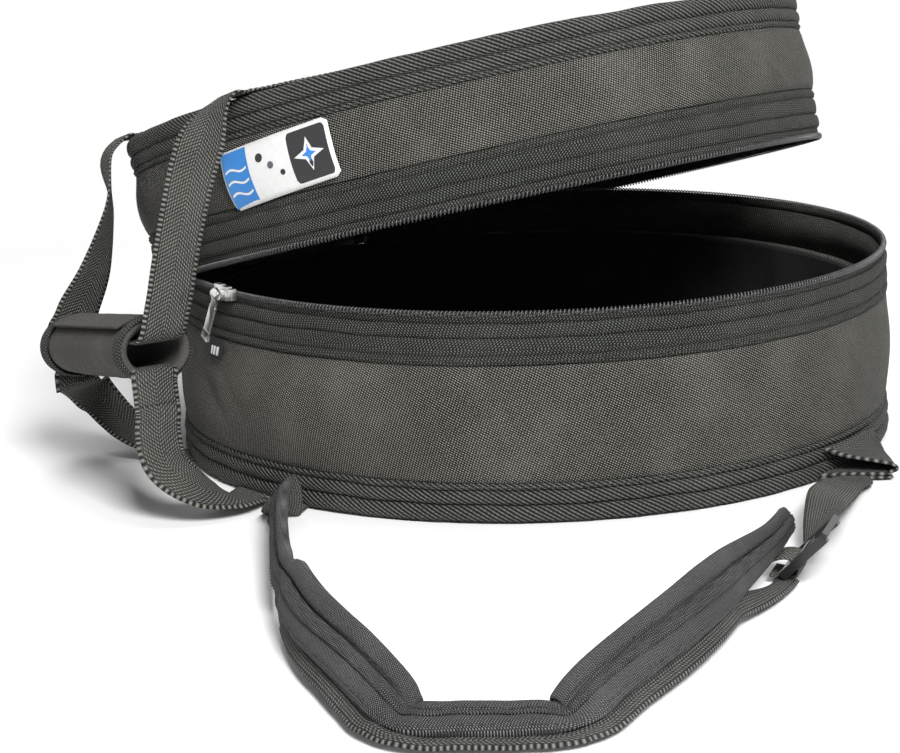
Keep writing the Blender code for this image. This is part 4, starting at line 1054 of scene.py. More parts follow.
# Each row: share of the way from the lid's edge to the grip, then how far out, how far along the grip and
# how far turned.
CARRY_FRONT_SHARES = ((0.0, 0.050, 0.0, 0.0), (0.09, 0.090, 0.0, 0.35), (0.30, 0.090, 0.0, 0.85),
                      (0.62, 0.055, -0.035, 1.0), (0.85, 0.025, -0.07, 1.0))
CARRY_BACK_SHARES = ((0.0, 0.050, 0.0, 0.0), (0.09, 0.095, 0.0, 0.10), (0.34, 0.035, -0.07, 0.36),
                     (0.66, 0.0, -0.04, 0.66), (0.88, 0.0, 0.03, 1.0))


def web_rise(place):
    """The height that webbing across the lid rests at, over a place on its middle line."""
    touched = [place + sideways * s for s in WEB_FEELERS]
    cloth = [LID_CLOTH + crowned(p.x, p.y, LID_RADIUS - WALL, LID_CROWN, LID_SEED) for p in touched]
    return max([LID_TOP] + cloth)


def lid_band(label, edge, shares, facing, seed):
    """The webbing from the lid's top over its edge into one mouth of the grip."""
    places = [edge + inwards * SEWN_LONG * (1.0 - k / 8.0) for k in range(9)]
    sewn = [lid_open @ (place + UP * (web_rise(place) + SEWN_LIFT)) for place in places]
    start, inside = sewn[-1], into_grip[label]
    mouth = mouths[label] + grip_up * BORE_HIGH / 2.0
    reach = (mouth - start).length
    route = sewn + [start + (mouth - start) * way + lid_out * out * reach + grip_along * along * reach
                    for way, out, along, _ in shares]
    route += [mouth - inside * BORE_HIGH / 2.0, mouth + inside * BORE_HIGH * 1.6]
    sides = [lid_across] * len(sewn) + [lid_across.lerp(grip_in * facing, turn) for *_, turn in shares]
    sides += [grip_in * facing] * 2
    band = web_strip(label + "_lid_webbing", route, sides, WEB_WIDTH, WEB_THICK, WEBBING, steps=7, seed=seed,
                     replaces=[label + "_carry_webbing", label + "_lid_tongue"])
    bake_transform(band)


# %% Lid bands and their stitches
WEB_SPACING, WEB_STITCH_ASIDE, WEB_STITCH_LIFT = 0.0034, 0.0098, 0.0021
for label, azimuth, shares, facing, seed in (("front", 235.5, CARRY_FRONT_SHARES, -1.0, 8.0),
                                             ("back", 193.0, CARRY_BACK_SHARES, 1.0, 2.0)):
    edge = ring_at(math.radians(azimuth), LID_EDGE, 0.0)
    lid_band(label, edge, shares, facing, seed)
    places = [edge + inwards * (0.003 + WEB_SPACING * k) for k in range(int(0.094 / WEB_SPACING))]
    for side, aside in enumerate((-WEB_STITCH_ASIDE, WEB_STITCH_ASIDE)):
        sewn = [lid_open @ (p + sideways * aside + UP * (web_rise(p) + WEB_STITCH_LIFT)) for p in places]
        stitch_row("%s_lid_stitches_%d" % (label, side), sewn, [lid_turn @ inwards] * len(sewn),
                   [lid_turn @ UP] * len(sewn), "lid")
print("lid webbing made, with", len(places), "stitches a row")

# %% [markdown]
# ## The grip
# Both loops of webbing run through one soft tube: foam wrapped in smooth cloth, bound at its
# mouths, with a flap along the top that opens to let the webbing out. Its section is an oval
# that is dented by hands, so a little stretched noise makes it look held.

# %% Grip
GRIP_ANGLES = [math.tau * k / 56 for k in range(56)]
DENT_WAVE, DENT_DEEP = 0.016, 0.0008


def round_grip(along, angle, lift):
    """A place round the grip, from its inner side over its top, so far off its cloth."""
    oval = grip_in * math.cos(angle) * (GRIP_WIDE + lift) + grip_up * math.sin(angle) * (GRIP_HIGH + lift)
    return grip_middle + grip_along * along + oval


# Each row: metres along from the grip's middle, then the cloth's lift there. The other end mirrors this one.
grip_end = [(-GRIP_HALF + 0.0003, -0.0018), (-GRIP_HALF, -0.0006), (-GRIP_HALF + 0.0010, 0.0005)]
grip_end += [(-GRIP_HALF + 0.0095 * t, -0.0003) for t in (0.25, 0.5, 0.75)] + [(-GRIP_HALF + 0.0100, -0.0004)]
grip_long = [(-GRIP_HALF + 0.0100 + (GRIP_LENGTH - 0.020) * t, -0.0004 + 0.0006 * math.sin(math.pi * t))
             for t in np.linspace(0.0, 1.0, 34)[1:-1]]
grip_outline = grip_end + grip_long + [(-along, lift) for along, lift in reversed(grip_end)]
rows = []
for angle in GRIP_ANGLES:
    row = []
    for along, lift in grip_outline:
        dent = soften(along * 2.2, math.cos(angle) * 0.012, math.sin(angle) * 0.012, DENT_WAVE, 5.0)
        dent *= DENT_DEEP
        dent *= min(1.0, max(0.0, (GRIP_HALF - abs(along) - 0.010) / 0.012))
        row.append(round_grip(along, angle, lift + dent))
    row += [round_grip(along, angle, -GRIP_WALL)
            for along in np.linspace(GRIP_HALF - 0.002, -GRIP_HALF + 0.002, 24)]
    rows.append(row)
grip = grid_piece("grip_cloth", rows, GRIP_CLOTH, "carry_loop", loop_rows=True, loop_section=True,
                  replaces=["grip_wrap"])
print("grip", GRIP_LENGTH, "m long, with a bore", round(BORE_HIGH * 2.0, 4), "m high")

# %% Grip bindings
BOUND_IN, BOUND_HALF, BOUND_LIFT, BOUND_STAND = 0.0048, 0.0050, 0.0007, 0.0011
bound_turns = [math.pi * t for t in np.linspace(0.0, 1.0, 13)]
for label, sign in (("front", -1.0), ("back", 1.0)):
    middle = sign * (GRIP_HALF - BOUND_IN)
    rows = [[round_grip(middle + BOUND_HALF * math.cos(turned), angle,
                        BOUND_LIFT + BOUND_STAND * math.sin(turned) ** 0.5) for turned in bound_turns]
            for angle in GRIP_ANGLES]
    bound = grid_piece("grip_binding_" + label, rows, TAPE, "carry_loop", loop_rows=True, loop_section=True)
print("grip bound at both mouths")

# %% Grip flap
FLAP_FROM, FLAP_TO, FLAP_LAST = 0.14, 0.38, 18
FLAP_HALF, FLAP_LIFT, FLAP_HALF_THICK, FLAP_CURL = GRIP_HALF - 0.0115, 0.0014, 0.0008, 0.0018
flap_rows = []
for k in range(FLAP_LAST + 1):
    share = k / FLAP_LAST
    angle = math.tau * (FLAP_FROM + (FLAP_TO - FLAP_FROM) * share)
    row = []
    for top in (1.0, -1.0):
        for along in np.linspace(-FLAP_HALF, FLAP_HALF, 41) * top:
            lift = FLAP_LIFT + FLAP_HALF_THICK * top + soften(along, k * 0.001, 0.0, 0.014, 2.0) * 0.0002
            row.append(round_grip(along, angle, lift + FLAP_CURL * share ** 6))
    flap_rows.append(row)
flap = grid_piece("grip_flap_cloth", flap_rows, GRIP_CLOTH, "grip_flap", loop_section=True, ends=True,
                  replaces=["grip_flap"])

# %% [markdown]
# ## The lower bands
# Two more bands come from under the base. Their upper ends turn into the grip's mouths.

# %% Lower bands
FLOOR_CLEAR = 0.0004
BASE_EDGE, FLOOR_LEVEL = BASE_RADIUS + 0.0015, FLOOR_CLEAR + WEB_THICK / 2.0
# Each row: place as shares of the base's radius, then the direction of the webbing's width.
BASE_FRONT_SHARES = ((-0.765, -0.782, 0.024, (-0.90, 0.44, 0.05)), (-0.802, -0.848, 0.050, (-0.55, 0.75, 0.35)),
                     (-0.870, -0.890, 0.084, (-0.05, 0.80, 0.60)), (-0.940, -0.892, 0.145, (0.50, 0.70, 0.50)),
                     (-0.962, -0.856, 0.215, (0.80, 0.55, 0.12)))
BASE_BACK_SHARES = ((-1.050, -0.256, 0.024, (0.05, 0.98, 0.05)), (-1.120, -0.230, 0.060, (0.15, 0.90, 0.35)),
                    (-1.190, -0.190, 0.110, (0.45, 0.80, 0.40)), (-1.250, -0.185, 0.180, (0.75, 0.60, 0.20)))
# Each row: the band, the azimuth where it leaves, where it points, its drop and its set-off at the mouth,
# the noise's seed, and its places.
LOWER_BANDS = (("front", 222.0, 72.0, 0.0120, -0.0040, 3.0, BASE_FRONT_SHARES),
               ("back", 195.0, -4.0, 0.0015, 0.0, 6.0, BASE_BACK_SHARES))
for label, azimuth, pointing, drop, set_off, seed, shares in LOWER_BANDS:
    out, inside = -heading(math.radians(pointing)), into_grip[label]
    leaves = ring_at(math.radians(azimuth), BASE_EDGE, FLOOR_LEVEL) + out * 0.0079
    aside = grip_in * set_off
    lip = mouths[label] - inside * 0.0026 - grip_up * (GRIP_HIGH + 0.0004) + aside
    top = lip - grip_up * drop
    route = [leaves - out * 0.067, leaves - out * 0.030, leaves - out * 0.004, leaves + out * WEB_THICK * 2.0]
    route += [Vector(place) * BASE_RADIUS for *place, _ in shares]
    route += [top - grip_up * 0.0050, top + grip_up * 0.0008]
    sides = [out.cross(UP)] * 4 + [Vector(side) for *_, side in shares] + [grip_in] * 2
    band = web_strip(label + "_lower_webbing", route, sides, WEB_WIDTH, WEB_THICK, WEBBING, steps=7, seed=seed,
                     replaces=[label + "_base_webbing", label + "_handle_tongue"])
    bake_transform(band)
    inner = [top, lip, mouths[label] + aside * 0.5 + inside * 0.0020 - grip_up * (BORE_HIGH - 0.0022),
             mouths[label] + inside * 0.020 - grip_up * (BORE_HIGH - 0.0020)]
    turn_in = web_strip(label + "_mouth_webbing", inner, [grip_in] * 4, WEB_WIDTH, WEB_THICK, WEBBING,
                        "carry_loop", steps=7, seed=4.0)
print("lower bands made:", len(LOWER_BANDS))

# %% [markdown]
# ## The shoulder strap
# The strap is two lobes of foam under one cloth, with a seam between them, a herringbone tape
# on the seam and a thinner webbing edge. It stands on its edge where it leaves the bag and lies
# down in front, with three sharp kinks where the foam has folded. The kinks pinch the section and
# throw cross creases to both sides.

# %% Strap path
# Each row: place as shares of the base's radius, then the lean as a share of a right angle.
STRAP_SHARES = ((-0.645, -1.000, 0.60), (-0.630, -1.165, 0.80), (-0.605, -1.440, 0.83), (-0.570, -1.705, 0.78),
                (-0.505, -1.980, 0.62), (-0.405, -2.195, 0.40), (-0.345, -2.320, 0.26), (-0.305, -2.405, 0.16),
                (-0.266, -2.443, 0.10), (-0.200, -2.451, 0.07), (0.005, -2.455, 0.07), (0.060, -2.440, 0.09),
                (0.094, -2.400, 0.14), (0.155, -2.290, 0.26), (0.285, -2.085, 0.47), (0.380, -1.905, 0.64),
                (0.435, -1.765, 0.71), (0.520, -1.535, 0.75), (0.570, -1.375, 0.73), (0.592, -1.300, 0.70))
PAD_WIDTH, PAD_THICK, EDGE_WIDTH, EDGE_THICK = 0.025, 0.0075, 0.011, 0.0022
PAD_HALF, STRAP_HALF = PAD_WIDTH / 2.0, (PAD_WIDTH + EDGE_WIDTH) / 2.0
STRAP_STEPS, KINK_ROWS = 12, (38, 90, 132)
centres, leans = [], []
for x, y, lean in STRAP_SHARES:
    angle = math.radians(90.0) * lean
    rise = STRAP_HALF * math.sin(angle) + PAD_THICK / 2.0 * math.cos(angle) + FLOOR_CLEAR
    centres.append(Vector((x * BASE_RADIUS, y * BASE_RADIUS, rise)))
    leans.append(Vector((angle, 0.0, 0.0)))
centres, leans = smooth(centres, STRAP_STEPS), [lean.x for lean in smooth(leans, STRAP_STEPS)]
last = len(centres) - 1
ahead = [way_at(centres, i) for i in range(last + 1)]
outer = [way.cross(UP).normalized() * math.cos(lean) - UP * math.sin(lean) for way, lean in zip(ahead, leans)]
under = [way.cross(side).normalized() for way, side in zip(ahead, outer)]
run = [0.0]
for first, second in zip(centres, centres[1:]):
    run.append(run[-1] + (second - first).length)
kink_runs = [run[row] for row in KINK_ROWS]
print("strap", round(run[-1], 3), "m long, kinks at", [round(kink, 3) for kink in kink_runs])


# %% How the strap's width and height change
PINCH_REACH, CREASE_REACH = 0.0085, 0.030


def near_kink(place, reach):
    """How near a place along the strap is to a kink: 1 at the kink, fading out over the reach."""
    return max(math.exp(-((place - kink) / reach) ** 2) for kink in kink_runs)


def slim(place):
    """The pad's width at a place along the strap, as a share of its full width: slack lead, then foam."""
    lead_in = 0.80 + 0.20 * eased((place - kink_runs[0] + 0.012) / 0.030)
    lead_out = 0.52 + 0.48 * eased((run[-1] - place - 0.006) / 0.130)
    return min(lead_in, lead_out)


def tip(place):
    """How far the pad has opened at a place: 0 at its sewn ends, 1 from a few millimetres on."""
    near = min(place, run[-1] - place) / 0.007
    return math.sqrt(1.0 - (1.0 - min(near, 1.0)) ** 2)


def pinched(place):
    """The pad's width in a kink, as a share of its width beside it."""
    return 1.0 - 0.14 * near_kink(place, PINCH_REACH)


def narrowed(place):
    """The pad's width at a place, as a share of the full one."""
    return pinched(place) * slim(place) * (0.62 + 0.38 * tip(place))


def thinned(place):
    """The pad's height at a place, as a share of the full one."""
    in_kink = 1.0 - 0.60 * near_kink(place, PINCH_REACH)
    return in_kink * (0.55 + 0.45 * slim(place)) * (0.35 + 0.65 * tip(place))


def crease(place, x):
    """Cross creases: strong beside a kink, faint elsewhere."""
    folds = soften(place, x * 0.25, 0.0, 0.0075, 2.0) * 0.00085 * near_kink(place, CREASE_REACH)
    return folds + soften(place, x * 0.3, 3.0, 0.013, 6.0) * 0.00034


print("narrowest share of the pad", round(min(narrowed(place) for place in run), 3))

# %% The strap's two lobes
SEAM_X, SEAM_HALF = -0.0029, 0.0006
LOBE_ROOT, LEFT_LOBE, RIGHT_LOBE = 0.0003, 0.0034, 0.0039


def lobe(x):
    """The pad's height above its middle plane, across its width."""
    left = x < SEAM_X
    middle = (SEAM_X - PAD_HALF) / 2.0 if left else (SEAM_X + PAD_HALF) / 2.0
    half = (SEAM_X + PAD_HALF) / 2.0 if left else (PAD_HALF - SEAM_X) / 2.0
    share = min(1.0, abs(x - middle) / half)
    return LOBE_ROOT + ((LEFT_LOBE if left else RIGHT_LOBE) - LOBE_ROOT) * (1.0 - share ** 2.6) ** 0.58


def swollen(x, place):
    """The pad's height at a place along it: two lobes, which run together at its sewn ends."""
    single = 0.0009 + 0.0026 * (1.0 - min(1.0, abs(x) / PAD_HALF) ** 2.6) ** 0.62
    open_share = eased((min(place, run[-1] - place) - 0.004) / 0.022)
    return (single + (lobe(x) - single) * open_share) * thinned(place)


def edge_fade(x):
    """One in the middle of the pad and zero at its edges, so that creases end at the seams."""
    return 1.0 - abs(x / PAD_HALF) ** 4


print("lobes", LEFT_LOBE, "and", RIGHT_LOBE, "m high")

# %% Strap pad
PAD_REACH, BELLY = 0.0122, 0.0032
seam_xs = [SEAM_X - SEAM_HALF, SEAM_X, SEAM_X + SEAM_HALF]
pad_xs = sorted({round(v, 6) for v in np.linspace(-PAD_REACH, PAD_REACH, 27)} | set(seam_xs))
pad_line = [centre - side * (EDGE_WIDTH / 2.0 - PAD_HALF * (1.0 - slim(place)))
            for centre, side, place in zip(centres, outer, run)]
rows = []
for middle, side, down, place in zip(pad_line, outer, under, run):
    narrow, thin = narrowed(place), thinned(place)
    row = [middle + side * x * narrow - down * (swollen(x, place) + crease(place, x) * edge_fade(x))
           for x in pad_xs]
    for x in reversed(pad_xs):
        belly = BELLY * (1.0 - abs(x / (PAD_HALF + 0.0001)) ** 4) ** 0.5
        row.append(middle + side * x * narrow + down * (belly * thin + 0.0002 + crease(place, x) * 0.5))
    rows.append(row)
pad = grid_piece("strap_pad_cloth", rows, PAD_CLOTH, "shoulder_strap", loop_section=True, ends=True,
                 across=there_and_back(pad_xs), along=np.array(run + [run[-1]]),
                 replaces=["strap_pad_middle", "strap_pad_left", "strap_pad_right"])
print("pad made, with", len(rows), "sections")

# %% Herringbone tape and the strap's stitches
HERRING_LOW, HERRING_HIGH, HERRING_LIFT, HERRING_HALF_THICK = -0.0026, 0.0034, 0.0004, 0.00035
STRAP_STITCH_XS, STRAP_SPACING, STRAP_STITCH_LIFT = (-0.0046, 0.0102), 0.0034, 0.00005
first, final = 3, last - 3
herring_xs = np.linspace(HERRING_LOW, HERRING_HIGH, 7)
rows = []
for i in range(first, final + 1):
    row = []
    for top in (1.0, -1.0):
        for x in herring_xs[::int(top)]:
            rise = max(swollen(x, run[i]), 0.0012 * thinned(run[i])) + crease(run[i], x) * edge_fade(x)
            rise += HERRING_LIFT + top * HERRING_HALF_THICK
            row.append(pad_line[i] + outer[i] * x * narrowed(run[i]) - under[i] * rise)
    rows.append(row)
tape = grid_piece("strap_herringbone", rows, HERRING, "shoulder_strap", loop_section=True, ends=True,
                  across=there_and_back(herring_xs), along=np.array(run[first:final + 1] + [run[final]]))
for index, x in enumerate(STRAP_STITCH_XS):
    sewn, distance = [], 0.004
    for i in range(1, last):
        while run[i] >= distance:
            sewn.append(i)
            distance += STRAP_SPACING
    rises = [swollen(x, run[i]) + crease(run[i], x) + STRAP_STITCH_LIFT for i in sewn]
    places = [pad_line[i] + outer[i] * x * narrowed(run[i]) - under[i] * rise for i, rise in zip(sewn, rises)]
    stitch_row("strap_stitches_%d" % index, places, [ahead[i] for i in sewn], [-under[i] for i in sewn],
               "shoulder_strap")
print("strap sewn, with", len(sewn), "stitches a row")

# %% [markdown]
# ## Where the lock lies
# The ladder lock hangs in a loop at the strap's back and leans up from the floor. Its places come
# first, because the strap's webbing edge, the anchor webbing and the loop all end at it.

# %% Lock places
LOCK_ROW = 208
LOCK_WIDTH, LOCK_THICK, LOCK_BAR, LOCK_SLOT = 0.032, 0.0042, 0.0048, 0.0065
LOCK_LENGTH = 3.0 * LOCK_BAR + 2.0 * LOCK_SLOT
LOOP_RADIUS = math.hypot(LOCK_BAR, LOCK_THICK) / 2.0 + 0.0006 + WEB_THICK / 2.0
lock_way = Vector((ahead[LOCK_ROW].x, ahead[LOCK_ROW].y, 0.0)).normalized()
lock_out = lock_way.cross(UP)
lock_foot = Vector((centres[LOCK_ROW].x, centres[LOCK_ROW].y, 0.0))
bar_place = lock_foot + lock_out * 0.0085 + UP * (LOOP_RADIUS + WEB_THICK)
lock_up = (lock_out + UP).normalized()
lock_face = lock_up.cross(lock_way)
lock_middle = bar_place + lock_up * (LOCK_LENGTH - LOCK_BAR) / 2.0
print("lock's middle", [round(v, 4) for v in lock_middle])

# %% [markdown]
# ## Webbing edge and lead
# The narrow webbing runs along the strap's outer edge and carries the pull. At the left it
# starts as a plain band sewn under the bag.

# %% Webbing edge
EDGE_LEAVES, EDGE_END, EDGE_TUCK = 186, 200, 0.0036
edge_goal = bar_place - lock_way * 0.0112
edge_goal.z = EDGE_THICK / 2.0 + FLOOR_CLEAR + 0.0002
edge_line, edge_sides = [], []
for i in range(EDGE_END + 1):
    pad_edge = PAD_HALF * pinched(run[i]) * slim(run[i])
    beside = pad_line[i] + outer[i] * (pad_edge + EDGE_WIDTH / 2.0 - EDGE_TUCK)
    beside += under[i] * (0.0023 - crease(run[i], 0.004))
    beside.z = max(beside.z, EDGE_THICK / 2.0 + FLOOR_CLEAR + abs(outer[i].z) * EDGE_WIDTH / 2.0)
    leaving = eased((i - EDGE_LEAVES) / (EDGE_END - EDGE_LEAVES))
    edge_line.append(beside.lerp(edge_goal - lock_way * (run[EDGE_END] - run[i]), leaving))
    edge_sides.append(outer[i].lerp(lock_out, leaving))
web_strip("strap_edge_cloth", edge_line, edge_sides, EDGE_WIDTH, EDGE_THICK, NARROW_WEBBING, "shoulder_strap",
          steps=1, seed=7.0, replaces=["strap_edge_webbing"])
print("webbing edge leaves the pad at", round(run[EDGE_LEAVES], 3), "m")

# %% Lead webbing
LEAD_WIDTH = 0.020
LEAD_AZIMUTH, LEAD_HEADING = math.radians(231.0), math.radians(76.0)
lead_out = -heading(LEAD_HEADING)
lead_start = ring_at(LEAD_AZIMUTH, BASE_EDGE, FLOOR_LEVEL) + lead_out * (0.012 + WEB_THICK)
lead_end = pad_line[0] + ahead[0] * 0.0040
lead = [lead_start + lead_out * along for along in (-0.060, -0.030, -0.004, 0.0054)]
lead += [lead_start.lerp(lead_end, 0.50), lead_end - ahead[0] * 0.0075, lead_end]
lead[4].z = max(lead[4].z, LEAD_WIDTH / 2.0 * 0.55)
lead[5].z = max(lead[5].z, LEAD_WIDTH / 2.0 * 0.95)
flat_side = lead_out.cross(UP)
lead_sides = [flat_side] * 4 + [flat_side.lerp(outer[0], 0.40), flat_side.lerp(outer[0], 0.85), outer[0]]
lead_band = web_strip("strap_lead_webbing", lead, lead_sides, LEAD_WIDTH, WEB_THICK, WEBBING, steps=7, seed=5.0,
                      replaces=["strap_start_webbing", "strap_left_tongue"])
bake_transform(lead_band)
print("lead", round((lead_end - lead_start).length, 4), "m from the bag to the pad")

# %% [markdown]
# ## The right end: tab, anchor webbing and loop
# A short wide tab of webbing, folded over at its tip, comes from under the bag. A second webbing
# starts beside it, turns on its edge and meets the ladder lock, which hangs in a loop at the
# strap's back.

# %% Anchor tab
TAB_AZIMUTH = math.radians(327.4)
TAB_HALF_X, TAB_HALF_Y = 0.018, 0.0295
TAB_HALF_THICK = 0.00078
tab_low, tab_high = (Vector(v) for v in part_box("strap_anchor_tab"))
tab_middle = ring_at(TAB_AZIMUTH, BASE_RADIUS, 0.0)
tab_ys = np.linspace(-TAB_HALF_Y, TAB_HALF_Y, 25)
layers = []
for level, inset in ((FLOOR_CLEAR + 0.0009, 0.0), (FLOOR_CLEAR + 0.0027, 0.0006)):
    rows = []
    for t in np.linspace(0.0, 1.0, 15):
        row = []
        for top in (1.0, -1.0):
            for y in tab_middle.y + tab_ys * top:
                inner_x = math.sqrt((BASE_EDGE - 0.006) ** 2 - y * y)
                x = inner_x + (tab_middle.x + TAB_HALF_X - inset - inner_x) * t
                rise = soften(x, y, level, 0.020, 4.0) * 0.0003
                row.append(Vector((x, y, level + rise + top * TAB_HALF_THICK * (1.0 - t ** 10 * 0.6))))
        rows.append(row)
    layers.append(grid_piece("anchor_tab_layer_%d" % len(layers), rows, WIDE_WEBBING, "base", loop_section=True,
                             ends=True, across=there_and_back(tab_ys)))
print("tab's box in the packed model", [round(v, 4) for v in tab_high - tab_low])

# %% The tab's fold
# Each row: share of the way from the tab's tip back to the wall, then the height.
TAB_FOLD = ((0.02, 0.0032), (-0.10, 0.0052), (-0.02, 0.0080), (0.35, 0.0104), (0.72, 0.0132), (1.0, 0.0172))
FOLD_HALF_THICK, PUFF_WAVE, PUFF_DEEP = 0.00075, 0.013, 0.0012
fold_ys = np.linspace(-TAB_HALF_Y + 0.0004, 0.0175, 21)
lines = []
for across in fold_ys:
    y = tab_middle.y + across
    tip_x, wall_x = tab_middle.x + TAB_HALF_X - 0.0012, math.sqrt((BASE_RADIUS + 0.0036) ** 2 - y * y)
    puffs = [soften(across, share * 0.02, rise, PUFF_WAVE, 6.0) * PUFF_DEEP for share, rise in TAB_FOLD]
    lines.append(smooth([Vector((tip_x + (wall_x - tip_x) * share, y, rise + puff))
                         for (share, rise), puff in zip(TAB_FOLD, puffs)], 5))
rows = []
for k in range(len(lines[0])):
    ways = [way_at(line, k) for line in lines]
    faces = [Vector((way.z, 0.0, -way.x)) * FOLD_HALF_THICK for way in ways]
    row = [line[k] + face for line, face in zip(lines, faces)]
    rows.append(row + [line[k] - face for line, face in zip(lines[::-1], faces[::-1])])
layers.append(grid_piece("anchor_tab_fold", rows, WIDE_WEBBING, "base", loop_section=True, ends=True,
                         across=there_and_back(fold_ys)))
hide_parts("strap_anchor_tab", "strap_right_tongue")
print("anchor tab in", len(layers), "layers")

# %% Anchor webbing
ANCHOR_WIDTH = 0.0214
ANCHOR_SHARES = ((0.785, -0.830, 0.034), (0.745, -0.975, 0.055), (0.712, -1.110, 0.078), (0.690, -1.240, 0.090))
ANCHOR_SIDES = ((1.0, 0.0, 0.0), (1.0, 0.0, -0.05), (0.97, -0.05, -0.20), (0.92, -0.12, -0.34),
                (0.88, -0.18, -0.30), (0.82, -0.22, 0.10))
anchor_start = tab_middle + Vector((-0.005, -TAB_HALF_Y - 0.0009, FLOOR_CLEAR + 0.0018))
anchor_end = lock_middle + lock_way * (LOCK_WIDTH / 2.0 + 0.0006)
anchor_line = [anchor_start, anchor_start - Vector((0.0, WEB_THICK * 6.0, 0.0))]
anchor_line += [Vector(place) * BASE_RADIUS for place in ANCHOR_SHARES]
anchor_line += [anchor_end + lock_way * WEB_THICK * 4.0, anchor_end]
anchor_sides = [Vector(side) for side in ANCHOR_SIDES] + [lock_up] * 2
web_strip("anchor_band", anchor_line, anchor_sides, ANCHOR_WIDTH, WEB_THICK, WEBBING, "shoulder_strap", steps=7,
          seed=9.0, replaces=["anchor_webbing"])
print("anchor webbing", round(sum((b - a).length for a, b in zip(anchor_line, anchor_line[1:])), 3), "m long")

# %% Lock loop
# Each row: how far out and how far up from the lock's bar, as shares of the loop's radius.
LOOP_SHARES = ((-1.70, 0.68), (-0.80, 0.98), (0.0, 1.0), (0.71, 0.71), (1.0, 0.0), (0.71, -0.71), (0.0, -1.0),
               (-0.80, -0.92), (-1.9, -0.80))
loop_line = [bar_place + (lock_out * out + UP * rise) * LOOP_RADIUS for out, rise in LOOP_SHARES]
web_strip("lock_loop_band", loop_line, [lock_way] * len(loop_line), 0.020, WEB_THICK * 0.9, WEBBING,
          "shoulder_strap", steps=5, seed=11.0, wave=0.0, replaces=["lock_loop_webbing"])
print("lock loop", round(LOOP_RADIUS, 4), "m in radius")

# %% [markdown]
# ## Hard pieces
# Moulded and cast pieces have no sharp edge anywhere. Each is a few blocks joined by a Boolean
# and then rounded with a Bevel, which is how one would model them by hand too.

# %% Hard piece helpers
def solid(kind, matrix, sizes):
    """One block or rod of a hard piece, as an object of its own."""
    shape = bmesh.new()
    if kind == "rod":
        radius, long = sizes
        bmesh.ops.create_cone(shape, cap_ends=True, segments=32, radius1=radius, radius2=radius, depth=long)
    else:
        bmesh.ops.create_cube(shape, size=1.0)
        bmesh.ops.scale(shape, vec=sizes, verts=shape.verts)
    shape.transform(matrix)
    mesh = bpy.data.meshes.new(kind)
    shape.to_mesh(mesh)
    shape.free()
    made = bpy.data.objects.new(kind, mesh)
    bpy.context.scene.collection.objects.link(made)
    return made


def modified(piece, kind, **settings):
    """Applies one modifier to a piece."""
    change = piece.modifiers.new("change", kind)
    for key, value in settings.items():
        setattr(change, key, value)
    bpy.context.view_layer.update()
    mesh = bpy.data.meshes.new_from_object(piece.evaluated_get(bpy.context.evaluated_depsgraph_get()))
    piece.modifiers.clear()
    piece.data = mesh


def moulded(name, parts, holes, bevel, surface, body, slot, segments=3):
    """Solids joined, holes cut, edges rounded. parts and holes are (kind, matrix, sizes)."""
    whole = solid(*parts[0])
    for operation, others in (("UNION", parts[1:]), ("DIFFERENCE", holes)):
        for other in (solid(*entry) for entry in others):
            modified(whole, "BOOLEAN", operation=operation, solver="EXACT", object=other)
            bpy.data.objects.remove(other)
    modified(whole, "BEVEL", width=bevel, segments=segments, limit_method="ANGLE")
    whole.name = name
    whole.data.materials.clear()
    whole.data.materials.append(surface)
    whole.data.shade_smooth()
    whole.data.set_sharp_from_angle(angle=math.radians(50.0))
    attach(whole, body)
    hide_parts(slot)
    return len(whole.data.polygons)


def block(place, sizes, x=0.0, y=0.0, z=0.0):
    """What a block of a hard piece needs: its kind, its place and its sizes."""
    return "block", place @ Matrix.Translation((x, y, z)), sizes


# %% Ladder lock
LOCK_RAIL, BAR_HIGH, MIDDLE_HIGH, LIP_HIGH = 0.0044, 0.86, 0.62, 0.72
lock_frame = Matrix.Translation(lock_middle) @ Matrix((lock_up, lock_way, lock_face)).transposed().to_4x4()
BARS = LOCK_LENGTH / 2.0 - LOCK_BAR / 2.0
lock_parts = [block(lock_frame, (LOCK_LENGTH, LOCK_RAIL, LOCK_THICK), y=side * (LOCK_WIDTH - LOCK_RAIL) / 2.0)
              for side in (-1.0, 1.0)]
lock_parts += [block(lock_frame, (LOCK_BAR, LOCK_WIDTH - 0.0036, LOCK_THICK * BAR_HIGH), x=-BARS),
               block(lock_frame, (LOCK_BAR, LOCK_WIDTH - 0.0036, LOCK_THICK * MIDDLE_HIGH), z=0.0006)]
lip_tilt = Matrix.Rotation(math.radians(-14.0), 4, "Y")
lip_frame = lock_frame @ Matrix.Translation((BARS + 0.0006, 0.0, 0.0004)) @ lip_tilt
lock_parts.append(block(lip_frame, (LOCK_BAR + 0.0022, LOCK_WIDTH - 0.0016, LOCK_THICK * LIP_HIGH)))
faces = moulded("ladder_lock_body", lock_parts, [], 0.0010, PLASTIC, "ladder_lock", "ladder_lock")
print("lock made, with", faces, "faces")

